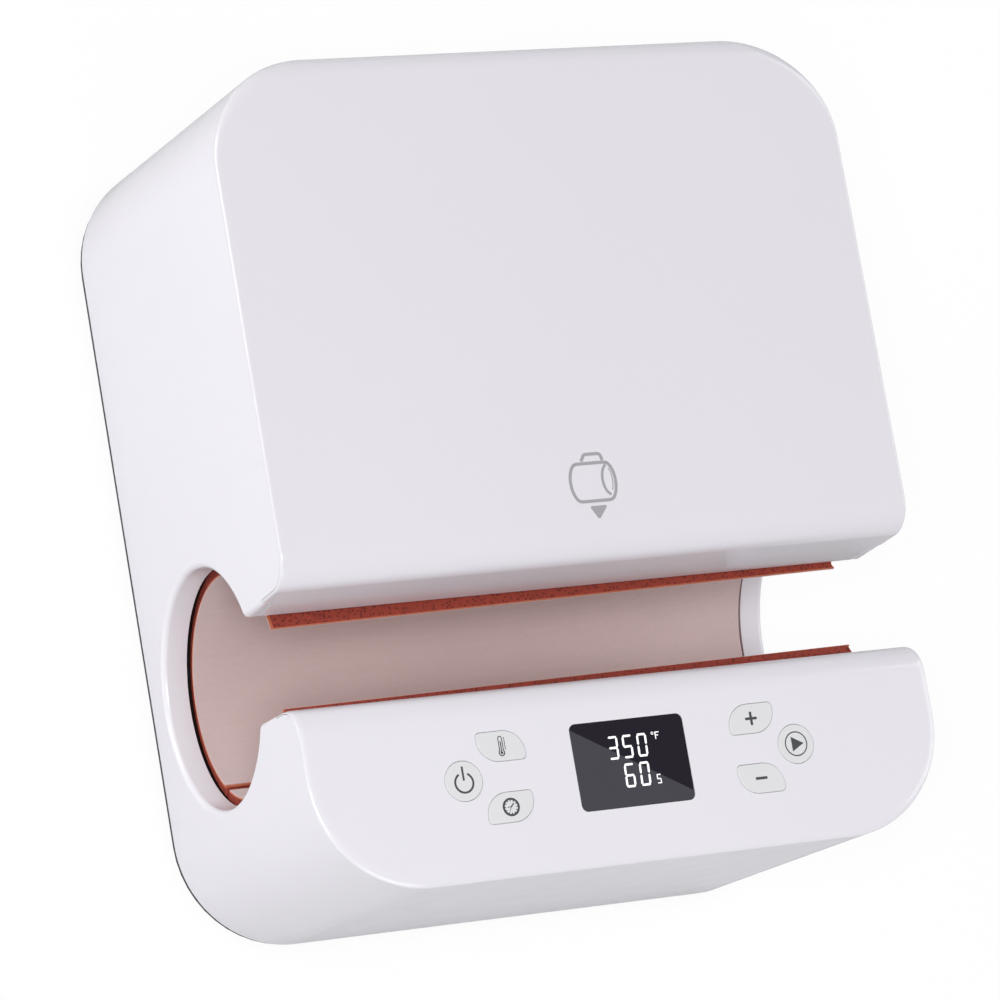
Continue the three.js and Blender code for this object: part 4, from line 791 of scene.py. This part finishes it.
def cheek(side, edge_round):
    """One cheek with the inner wall of its hole and slot, the edge between them rounded."""
    points, first, last = cheek_outline()
    clear_selection()
    bpy.ops.mesh.primitive_circle_add(vertices=len(points), radius=1, fill_type="NGON")
    piece = take("cheek")
    for vertex, (y, z) in zip(piece.data.vertices, points):
        vertex.co = metres((side * HALF_WIDTH, y, z))

    def select_rim(face_count):
        """Selects the hole's and slot's edges with that many faces, on the cheek's outer face."""
        mesh = bmesh.from_edit_mesh(piece.data)
        mesh.select_mode = {"EDGE"}
        bpy.ops.mesh.select_all(action="DESELECT")
        rim = {tuple(round(value, 5) for value in metres((side * HALF_WIDTH, y, z)))
               for y, z in points[first:last + 1]}
        for edge in mesh.edges:
            ends = {tuple(round(value, 5) for value in vertex.co) for vertex in edge.verts}
            if ends <= rim and len(edge.link_faces) == face_count:
                edge.select = True
        mesh.select_flush_mode()
        bmesh.update_edit_mesh(piece.data)

    in_edit(
        piece,
        lambda: bpy.ops.mesh.select_mode(type="EDGE"),
        lambda: select_rim(1),
        lambda: bpy.ops.mesh.extrude_edges_move(
            TRANSFORM_OT_translate={"value": (-side * COLLAR_DEPTH * MM, 0, 0)}),
        lambda: select_rim(2),
        lambda: bpy.ops.mesh.bevel(offset=edge_round, segments=5, profile=0.5, affect="EDGES"),
    )
    # At both tips the inner wall is less deep, and its edge steps a little away from the chamber
    shares = [0.0] + [index / 10 for index in range(11)]
    tips = [*zip(points[first:first + 12], shares), *zip(points[last:last - 12:-1], shares)]
    depths = {(round(y * MM, 5), round(z * MM, 5)):
              TIP_DEPTH + (COLLAR_DEPTH - TIP_DEPTH) * share for (y, z), share in tips}
    for vertex in piece.data.vertices:
        depth = depths.get((round(vertex.co.y, 5), round(vertex.co.z, 5)))
        if depth and abs(abs(vertex.co.x) - (HALF_WIDTH - COLLAR_DEPTH) * MM) < 1e-5:
            vertex.co.x = side * (HALF_WIDTH - depth) * MM
            step = TIP_STEP * (COLLAR_DEPTH - depth) / (COLLAR_DEPTH - TIP_DEPTH)
            vertex.co.y += math.copysign(step * MM, vertex.co.y - CHAMBER[0] * MM)
    return piece


def end_wall(side):
    """The wall around one end of the housing: two corners and the straight stretch between them."""
    outline_y, height, end_drop = ((REAR_Y, REAR_HEIGHT, REAR_DROP) if side > 0
                                   else (FRONT_Y, FRONT_HEIGHT, FRONT_DROP))
    corner_steps = 20
    shares = [index / corner_steps for index in range(corner_steps + 1)]
    stations = [(1, share) for share in shares] + [(-1, 1 - share) for share in shares]
    piece = sheet_grid("end_wall", len(stations), 2)

    def where(column, row):
        sign, share = stations[column]
        turn = math.radians(90 * share)
        x = sign * (HALF_WIDTH - PLAN_RADIUS + PLAN_RADIUS * math.cos(turn))
        y = outline_y - side * PLAN_RADIUS * (1 - math.sin(turn))
        _, drop = rim_shape(share, 1.0, 1.0, SIDE_DROP, end_drop)
        return (x, y, height - drop - PARTING_GAP if row else SHELL_BOTTOM)

    bend(piece, len(stations), where)
    return piece


class HEATPRESS_OT_side_shell(bpy.types.Operator):
    """Models the wrap-round side shell with both cheeks, their holes and collars"""

    bl_idname = "heatpress.side_shell"
    bl_label = "Side shell"

    def execute(self, context):
        sizes, colours = context.scene.press_sizes, context.scene.press_colours
        cheeks = [cheek(side, sizes.hole_edge) for side in (-1, 1)]
        piece = merge("side_shell_skin", cheeks + [end_wall(side) for side in (-1, 1)])
        in_edit(piece, lambda: bpy.ops.mesh.remove_doubles(threshold=2e-5),
                lambda: bpy.ops.mesh.normals_make_consistent(inside=False))
        rear = max(piece.data.polygons, key=lambda face: face.center.y)
        if rear.normal.y < 0:
            in_edit(piece, bpy.ops.mesh.flip_normals)
        apply_modifier(piece, "SOLIDIFY", thickness=WALL * MM, offset=-1.0, use_even_offset=True)
        flange = rounded((-66.0, 34.0), (48.6, 24.6), 5.0)
        carve(piece, slab("inlet_cut", flange, -REAR_Y - 5, -REAR_Y + 6, ALONG_Y))
        smooth(piece)
        finish = gloss_finish("shell_gloss", colours.shell, 0.24, 0.4)
        dress(piece, finish, nodes=["side_shell"])
        return {"FINISHED"}


# Mats

def lip_angle(radius, across, lip, drift):
    """Angle of a lip's cut, slanted through the sponge; across is -1 at the left end, 1 right."""
    share = max(radius - SPONGE_RADII[0], 0.0) / (SPONGE_RADII[1] - SPONGE_RADII[0])
    lean = lip[0] + (lip[1] - lip[0]) * share
    return lean + across * (drift[0] + (drift[1] - drift[0]) * share)


def rear_end(radius, across):
    edge = 0.4 if radius < SPONGE_RADII[0] else 0.0
    return 360.0 + edge + lip_angle(radius, across, REAR_LIP, REAR_LIP_DRIFT)


def front_end(radius, across):
    return lip_angle(radius, across, FRONT_LIP, FRONT_LIP_DRIFT)


def place_across(across, half, radius, angle):
    """Place along the chamber; the right end reaches further near both lips."""
    turned = math.degrees(angle)
    inside = min(rear_end(radius, across) - turned, turned - front_end(radius, across))
    share = min(max(1.0 - inside / LIP_RUN, 0.0), 1.0)
    return MAT_SHIFT + across * half + LIP_REACH * share * share * max(across, 0.0) ** 4


def arc_slab(name, radii, half, start, end, rows):
    """A slab bent round the chamber; start and end give its angles at a radius and place."""
    piece = sheet_grid(name, 40, rows)
    in_edit(piece, lambda: bpy.ops.mesh.extrude_region_move(
        TRANSFORM_OT_translate={"value": (0, 0, 1.0)}))
    face_out(piece)
    for vertex in piece.data.vertices:
        across, along, deep = vertex.co
        radius = radii[0] + (radii[1] - radii[0]) * deep
        first, last = start(radius, across), end(radius, across)
        angle = math.radians(first + (last - first) * (along + 1) / 2)
        vertex.co = metres((place_across(across, half, radius, angle),
                            CHAMBER[0] + radius * math.cos(angle),
                            CHAMBER[1] + radius * math.sin(angle)))
    face_out(piece)
    return piece


def cloth_sheet(name, start, end, rows):
    """A thin woven sheet bent round the chamber, with its own metres as its UV map."""
    radius = sum(CLOTH_RADII) / 2
    columns = 60
    piece = sheet_grid(name, columns, rows)
    length = radius * math.radians(end(radius, 0) - start(radius, 0)) * MM
    layer = piece.data.uv_layers[0].data
    for face in piece.data.polygons:
        for loop in face.loop_indices:
            vertex = piece.data.vertices[piece.data.loops[loop].vertex_index].co
            layer[loop].uv = (vertex.x * MAT_HALF * MM, (vertex.y + 1) / 2 * length)

    def where(column, row):
        across = 2 * column / (columns - 1) - 1
        first, last = start(radius, across), end(radius, across)
        angle = math.radians(first + (last - first) * row / (rows - 1))
        # A slight unevenness keeps the cloth's sheen from looking ruled
        ripple = 0.05 * math.sin(column * 1.9 + row * 0.7) * math.sin(row * 1.3 + 0.4)
        reach = radius + ripple
        return (place_across(across, MAT_HALF, radius, angle), CHAMBER[0] + reach * math.cos(angle),
                CHAMBER[1] + reach * math.sin(angle))

    bend(piece, columns, where)
    middle = piece.data.polygons[len(piece.data.polygons) // 2]
    inwards = Vector(metres((0, *CHAMBER))) - middle.center
    if middle.normal.yz.dot(inwards.yz) < 0:
        in_edit(piece, bpy.ops.mesh.flip_normals)
    thickness = (CLOTH_RADII[1] - CLOTH_RADII[0]) * MM
    apply_modifier(piece, "SOLIDIFY", thickness=thickness, offset=0.0)
    smooth(piece, weighted=False)
    return piece, length


class HEATPRESS_OT_mats(bpy.types.Operator):
    """Models the woven mats, their silicone and the sponge behind them"""

    bl_idname = "heatpress.mats"
    bl_label = "Mats and sponge"

    def execute(self, context):
        colours = context.scene.press_colours
        cloth = cloth_finish("mat_cloth", colours.cloth)
        silicone = silicone_finish("mat_silicone", colours.silicone)
        sponge = sponge_finish("sponge_pad", colours.sponge)

        def level(angle):
            return lambda radius, across: angle

        def on_both(piece):
            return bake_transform(piece)

        long_sheet, length = cloth_sheet("cloth_rear_and_bottom", level(CREASE + CREASE_CLOTH),
                                         rear_end, 96)
        dress(long_sheet, cloth, body=None, nodes=["heating_mat_rear", "heating_mat_bottom"])
        on_both(long_sheet)
        front_stop = level(CREASE - CREASE_STRIP)
        short_sheet, length = cloth_sheet("cloth_front", front_end, front_stop, 56)
        dress(short_sheet, cloth, nodes=["heating_mat_front"])

        def pads(name, radii, half, finish, nodes, stop):
            long_pad = arc_slab(f"{name}_rear_and_bottom", radii, half,
                                level(CREASE + CREASE_PAD), rear_end, 90)
            dress(long_pad, finish, body=None, nodes=nodes[:2])
            on_both(long_pad)
            short_pad = arc_slab(f"{name}_front", radii, half, front_end, stop, 50)
            dress(short_pad, finish, nodes=nodes[2:])
            for piece in (long_pad, short_pad):
                smooth(piece, weighted=False)
            return long_pad, short_pad

        pads("silicone", SILICONE_RADII, MAT_HALF, silicone, [], front_stop)
        nodes = ["sponge_pad_rear", "sponge_pad_bottom", "sponge_pad_front"]
        for piece in pads("sponge", SPONGE_RADII, SPONGE_HALF, sponge, nodes,
                          level(CREASE - CREASE_PAD)):
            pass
        return {"FINISHED"}


# Window, digits, keys and marks

class Print:
    """Flat printed shapes around one place on a surface, in millimetres."""

    def __init__(self, x, y, low, high):
        self.place = (x, y)
        self.levels = (low, high)
        self.pieces = []

    def shape(self, outline):
        """A flat shape with the given outline, around the place."""
        x, y = self.place
        self.pieces.append(slab("print", [(x + u, y + v) for u, v in outline], *self.levels))

    def bar(self, centre, size, angle=0.0, radius=0.0):
        """A bar with round corners, turned by an angle."""
        turn = math.radians(angle)
        self.shape([(centre[0] + u * math.cos(turn) - v * math.sin(turn),
                     centre[1] + u * math.sin(turn) + v * math.cos(turn))
                    for u, v in rounded((0, 0), size, radius or min(size) * 0.12, 3)])

    def band(self, centre, radii, start=0, end=360):
        """A ring, in two halves, or an arc."""
        if abs(end - start) >= 360:
            middle = (start + end) / 2
            self.band(centre, radii, start, middle)
            self.band(centre, radii, middle, end)
            return
        count = max(6, int(abs(end - start) / 10))
        outer = arc(centre, radii[1], start, end, count)
        self.shape(outer + arc(centre, radii[0], end, start, count))

    def stroke(self, points, width):
        """A line of even width through points, as one thin ribbon with mitred bends."""
        sides = ([], [])
        for index, (x, y) in enumerate(points):
            before, after = points[max(index - 1, 0)], points[min(index + 1, len(points) - 1)]
            normals = []
            for start, end in ((before, (x, y)), ((x, y), after)):
                length = math.hypot(end[0] - start[0], end[1] - start[1])
                if length:
                    normals.append(((start[1] - end[1]) / length, (end[0] - start[0]) / length))
            nx, ny = (sum(normal[axis] for normal in normals) for axis in (0, 1))
            reach = width / (nx * nx + ny * ny) * (1.0 if len(normals) == 2 else 0.5)
            sides[0].append((x + nx * reach, y + ny * reach))
            sides[1].append((x - nx * reach, y - ny * reach))
        self.shape(sides[1] + sides[0][::-1])

    def merged(self, name):
        return merge(name, self.pieces)


SEGMENTS = {"0": "abcdef", "3": "abcdg", "5": "acdfg", "6": "acdefg"}


def print_digit(figures, symbol, left, low_y, size):
    """Prints one seven-segment digit, leaning a little."""
    width, height = size
    thick = width * 0.2
    gap = thick * 0.14
    lean = 0.04
    inset, half = thick / 2, height / 2

    def across(y):
        point, corner = gap + thick * 0.2, thick * 0.75
        return [(corner, y - inset), (width - corner, y - inset), (width - point, y),
                (width - corner, y + inset), (corner, y + inset), (point, y)]

    def upright(x, bottom, top):
        cut = thick * 0.7
        return [(x, bottom + gap), (x + inset, bottom + cut), (x + inset, top - cut),
                (x, top - gap), (x - inset, top - cut), (x - inset, bottom + cut)]

    shapes = {
        "a": across(height - inset), "g": across(half), "d": across(inset),
        "f": upright(inset, half, height - inset), "e": upright(inset, inset, half),
        "b": upright(width - inset, half, height - inset), "c": upright(width - inset, inset, half),
    }
    for name in SEGMENTS[symbol]:
        figures.shape([(left + x + y * lean, low_y + y) for x, y in shapes[name]])


class HEATPRESS_OT_window(bpy.types.Operator):
    """Models the display window and its lit figures"""

    bl_idname = "heatpress.window"
    bl_label = "Window and figures"

    def execute(self, context):
        colours = context.scene.press_colours
        outline = rounded((0, PANEL_Y), WINDOW, 2.6, 10)
        glass = slab("window_pane", outline, FRONT_HEIGHT - 1.5, FRONT_HEIGHT)
        apply_modifier(glass, "BEVEL", width=0.00025, segments=3, limit_method="ANGLE")
        smooth(glass)
        finish = window_finish("window_smoke", colours.window)
        dress(glass, finish, nodes=["display_window"])
        figures = Print(0.0, 0.0, FRONT_HEIGHT + 0.005, FRONT_HEIGHT + 0.035)
        for symbol, left in (("3", -9.6), ("5", -3.2), ("0", 3.3)):
            print_digit(figures, symbol, left, -125.4, (4.4, 9.4))
        for symbol, left in (("6", -4.4), ("0", 2.3)):
            print_digit(figures, symbol, left, -137.1, (4.5, 9.7))
        thin = 0.42
        figures.band((10.9, -116.5), (0.32, 0.6))
        figures.bar((12.2, -117.5), (thin, 3.0))
        figures.bar((13.0, -116.2), (1.7, thin))
        figures.bar((12.8, -117.4), (1.3, thin))
        low, rise = -136.6, 3.4
        for share in (0, 0.5, 1):
            figures.bar((10.6, low + share * rise), (1.7, thin))
        figures.bar((9.9, low + rise * 0.75), (thin, rise / 2))
        figures.bar((11.3, low + rise * 0.25), (thin, rise / 2))
        light = print_finish("figure_light", (0.9, 0.9, 0.9), 0.35)
        dress(figures.merged("lit_figures"), light)
        return {"FINISHED"}


def key_symbol(key):
    """The printed symbol of a key, on its cap."""
    x, y, _ = KEYS[key]
    ink = Print(x, y, KEY_TOP + 0.002, KEY_TOP + 0.03)
    if key == "power":
        ink.band((0, -0.7), (3.45, 4.3), 118, 422)
        ink.bar((0, 3.0), (0.85, 5.6))
    elif key == "start":
        ink.shape([(-2.0, -3.0), (3.4, 0.0), (-2.0, 3.0)])
        ink.band((0, 0), (4.6, 5.1))
    elif key == "temperature":
        ink.band((0, 3.0), (0.62, 1.0), 0, 180)
        ink.band((0, -2.7), (0.95, 1.4), 130, 410)
        for side in (-0.81, 0.81):
            ink.bar((side, 0.55), (0.38, 5.0))
        ink.bar((0, -0.4), (0.45, 4.6))
        ink.bar((0, -2.7), (1.1, 1.1), radius=0.5)
        ink.bar((1.75, 0.9), (0.26, 5.0))
    elif key == "time":
        ink.band((0, 0), (2.8, 3.7))
        for angle in range(0, 360, 30):
            ink.bar(arc((0, 0), 2.6, angle, angle, 1)[0], (0.7, 0.36), angle)
        ink.bar((0.6, 0.66), (2.2, 0.5), 47)
        ink.bar((-0.8, 0.05), (1.7, 0.3), 4)
        ink.bar((-0.45, -0.85), (2.0, 0.2), 62)
    else:
        ink.bar((0, 0), (5.3, 1.1), radius=0.1)
        if key == "plus":
            for side in (-1, 1):
                ink.bar((0, side * 1.6), (1.1, 2.3), radius=0.1)
    return ink.merged(f"{key}_key_symbol")


class HEATPRESS_OT_keys(bpy.types.Operator):
    """Models the six key caps and their printed symbols"""

    bl_idname = "heatpress.keys"
    bl_label = "Keys"

    def execute(self, context):
        colours = context.scene.press_colours
        cap_finish = key_finish("key_cap", colours.key)
        ink = print_finish("key_ink", colours.mark)
        for key in KEYS:
            cap = slab(f"{key}_key_cap", key_outline(key), FRONT_HEIGHT - 3.2, KEY_TOP)
            apply_modifier(cap, "BEVEL", width=0.00035, segments=3, limit_method="ANGLE")
            smooth(cap)
            body = f"{key}_key"
            dress(cap, cap_finish, body=body, nodes=[body])
            dress(key_symbol(key), ink, body=body)
        return {"FINISHED"}


def oval(centre, radii, start, end, count=14):
    """Points of an ellipse's arc, in degrees."""
    return [(centre[0] + radii[0] * u, centre[1] + radii[1] * v)
            for u, v in arc((0, 0), 1.0, start, end, count)]


class HEATPRESS_OT_cup_mark(bpy.types.Operator):
    """Prints the cup outline and arrow above the slot"""

    bl_idname = "heatpress.cup_mark"
    bl_label = "Cup mark"

    def execute(self, context):
        ink = Print(0.0, 0.0, REAR_HEIGHT + 0.002, REAR_HEIGHT + 0.03)
        middle, line = -15.0, 1.35
        right = oval((5.5, middle), (3.9, 7.8), 82, -82)
        left = oval((-6.7, middle), (4.0, 7.8), 262, 98)
        handle = [(-4.5, -6.3), (-3.5, -4.8)] + oval((-2.0, -5.0), (1.5, 1.4), 150, 92, 4)
        handle += oval((3.1, -5.0), (1.5, 1.4), 88, 12, 5) + [(5.0, -6.4)]
        for points in (right, left, [right[0], left[-1]], [right[-1], left[0]], handle):
            ink.stroke(points, line)
        ink.stroke(oval((7.2, middle + 0.65), (3.5, 6.3), 108, 260), 1.15)
        ink.stroke(oval((5.9, middle + 0.4), (2.2, 5.5), 60, -50), 0.45)
        ink.shape([(-3.7, -25.1), (-3.6, -25.6), (-1.1, -29.8), (-0.1, -29.8), (3.4, -25.5),
                   (3.5, -25.0), (3.1, -24.7), (-3.3, -24.7)])
        dress(ink.merged("cup_mark"), print_finish("cup_ink", (0.36, 0.35, 0.37)))
        return {"FINISHED"}


# Finishes of the solids that no skin replaces

class HEATPRESS_OT_finishes(bpy.types.Operator):
    """Gives the solids that no skin replaces their finishes"""

    bl_idname = "heatpress.finishes"
    bl_label = "Finishes"

    def execute(self, context):
        looks = {
            "base": grain_finish("base_grain", (0.05, 0.055, 0.062)),
            "foot": grain_finish("foot_rubber", (0.03, 0.03, 0.032), 0.85, 600.0),
            "screw": metal_finish("screw_zinc", (0.72, 0.73, 0.75), 0.3, (300.0, 300.0, 300.0)),
            "sheet": metal_finish("sheet_rolled", (0.66, 0.67, 0.69)),
            "steel": metal_finish("steel_turned", (0.5, 0.51, 0.53), 0.28, (400.0, 60.0, 60.0)),
            "bronze": metal_finish("bronze_sintered", (0.6, 0.42, 0.2), 0.4, (300.0, 300.0, 300.0)),
            "gear": grain_finish("gear_nylon", (0.78, 0.75, 0.66), 0.45, 400.0),
            "can": metal_finish("can_plated", (0.52, 0.53, 0.56), 0.3, (20.0, 400.0, 400.0)),
            "dark_part": grain_finish("dark_moulding", (0.02, 0.02, 0.022), 0.5),
            "board": board_finish("board_mask", (0.02, 0.16, 0.06)),
            "winding": metal_finish("winding_taped", (0.6, 0.45, 0.15), 0.5, (60.0, 60.0, 900.0)),
            "sink": metal_finish("sink_extruded", (0.7, 0.71, 0.73), 0.36, (300.0, 300.0, 6.0)),
        }
        slots = {entry["node"]: entry["material_slot"] for entry in frame["record"]["subparts"]}
        # The cradle and swing arm get painted shade at their ends, where they show in the gap
        # beside the collars
        cradle = metal_finish("sheet_cradle_painted_shade", (0.66, 0.67, 0.69), painted_shade=True)
        for name, solid in frame["nodes"].items():
            if slots[name] not in looks:
                continue
            look = cradle if name in ("fixed_cradle", "swing_arm") else looks[slots[name]]
            if not solid.material_slots:
                solid.data.materials.append(look)
            for slot in solid.material_slots:
                slot.material = look
        return {"FINISHED"}


# Stage

# Camera fitted to the photo: focal length in picture widths, then its right, up and back, its place
CAMERA_LENS = 5.22305
CAMERA_AXES = (
    (0.89647112, -0.16808469, 0.40998422),
    (0.07791833, 0.97064035, 0.22756547),
    (-0.43619750, -0.17206059, 0.88324792),
)
CAMERA_PLACE = (-0.941925, -0.373682, 1.980637)


def lamp(name, place, aim, size, power):
    """A soft box of the given width and height, in watts, turned towards aim."""
    clear_selection()
    bpy.ops.object.light_add(type="AREA", location=place)
    light = bpy.context.object
    light.name = name
    light.data.shape = "RECTANGLE"
    light.data.size, light.data.size_y = size
    light.data.energy = power
    direction = Vector(aim) - Vector(place)
    light.rotation_euler = direction.to_track_quat("-Z", "Y").to_euler()


class HEATPRESS_OT_stage(bpy.types.Operator):
    """Sets the floor, the soft light and the camera"""

    bl_idname = "heatpress.stage"
    bl_label = "Stage"

    def execute(self, context):
        clear_selection()
        bpy.ops.mesh.primitive_plane_add(size=14.0)
        floor = take("floor")
        in_edit(floor, lambda: bpy.ops.mesh.subdivide(number_cuts=4))
        look = Finish("floor_paper", roughness=0.9)
        fibre = look.noise(300.0, 3.0)
        look.set("Base Color", look.blend(fibre, (0.59, 0.59, 0.595), (0.62, 0.62, 0.625)))
        seen = look.node("ShaderNodeLightPath")
        glow = look.node("ShaderNodeEmission", inputs={"Color": (1.0, 1.0, 1.0), "Strength": 1.06})
        surface = Wire(look.tree, look.shader.outputs[0])
        mixed = look.node("ShaderNodeMixShader", inputs={0: seen * 0.86, 1: surface, 2: glow})
        feed(look.tree, look.tree.nodes["Material Output"].inputs["Surface"], mixed)
        floor.data.materials.append(look.material)

        world = bpy.data.worlds.new("studio")
        context.scene.world = world
        world.use_nodes = True
        air = Nodes(world.node_tree)
        sky = air.tree.nodes["Background"]
        _, _, height = air.parts(air.node("ShaderNodeTexCoord"))
        low = 1.0 - height.top(0.0)
        feed(air.tree, sky.inputs["Color"], (0.97, 0.965, 1.0))
        feed(air.tree, sky.inputs["Strength"], low * low * 0.4 + 0.25)

        lamp("key_box", (-1.06, -0.38, 2.2), (0, -0.05, 0.1), (0.6, 0.6), 26.0)
        lamp("left_box", (-1.5, 0.8, 0.4), (0, 0, 0.08), (1.0, 1.0), 13.8)
        lamp("front_box", (-0.1, -1.45, 0.95), (0, 0, 0.1), (1.0, 1.0), 7.0)
        lamp("right_box", (1.6, 0.3, 1.0), (0, 0, 0.1), (1.8, 1.3), 12.5)

        scene = context.scene
        scene.view_settings.view_transform = "Standard"
        data = bpy.data.cameras.new("camera")
        camera = bpy.data.objects.new("camera", data)
        scene.collection.objects.link(camera)
        data.sensor_fit = "HORIZONTAL"
        data.lens = CAMERA_LENS * data.sensor_width
        data.clip_end = 50.0
        turn = Matrix(CAMERA_AXES).transposed().to_4x4()
        camera.matrix_world = Matrix.Translation(CAMERA_PLACE) @ turn
        scene.camera = camera
        return {"FINISHED"}


class HEATPRESS_PT_panel(bpy.types.Panel):
    """Lists the steps that build the heat press"""

    bl_idname = "HEATPRESS_PT_panel"
    bl_label = "Heat press"
    bl_space_type = "VIEW_3D"
    bl_region_type = "UI"
    bl_category = "Heat press"

    def draw(self, context):
        for step in STEPS:
            self.layout.operator(step.bl_idname)
        for group in (context.scene.press_sizes, context.scene.press_colours):
            for name in group.__annotations__:
                self.layout.prop(group, name)


STEPS = (
    HEATPRESS_OT_stage,
    HEATPRESS_OT_finishes,
    HEATPRESS_OT_side_shell,
    HEATPRESS_OT_rear_cover,
    HEATPRESS_OT_control_panel,
    HEATPRESS_OT_mats,
    HEATPRESS_OT_window,
    HEATPRESS_OT_keys,
    HEATPRESS_OT_cup_mark,
)


def register():
    for kind in (PressSizes, PressColours, *STEPS, HEATPRESS_PT_panel):
        bpy.utils.register_class(kind)
    bpy.types.Scene.press_sizes = bpy.props.PointerProperty(type=PressSizes)
    bpy.types.Scene.press_colours = bpy.props.PointerProperty(type=PressColours)


def unregister():
    del bpy.types.Scene.press_colours
    del bpy.types.Scene.press_sizes
    for kind in (HEATPRESS_PT_panel, *reversed(STEPS), PressColours, PressSizes):
        bpy.utils.unregister_class(kind)


def main():
    register()
    for step in STEPS:
        group, name = step.bl_idname.split(".")
        getattr(getattr(bpy.ops, group), name)()
    clear_selection()


if __name__ == "__main__":
    main()
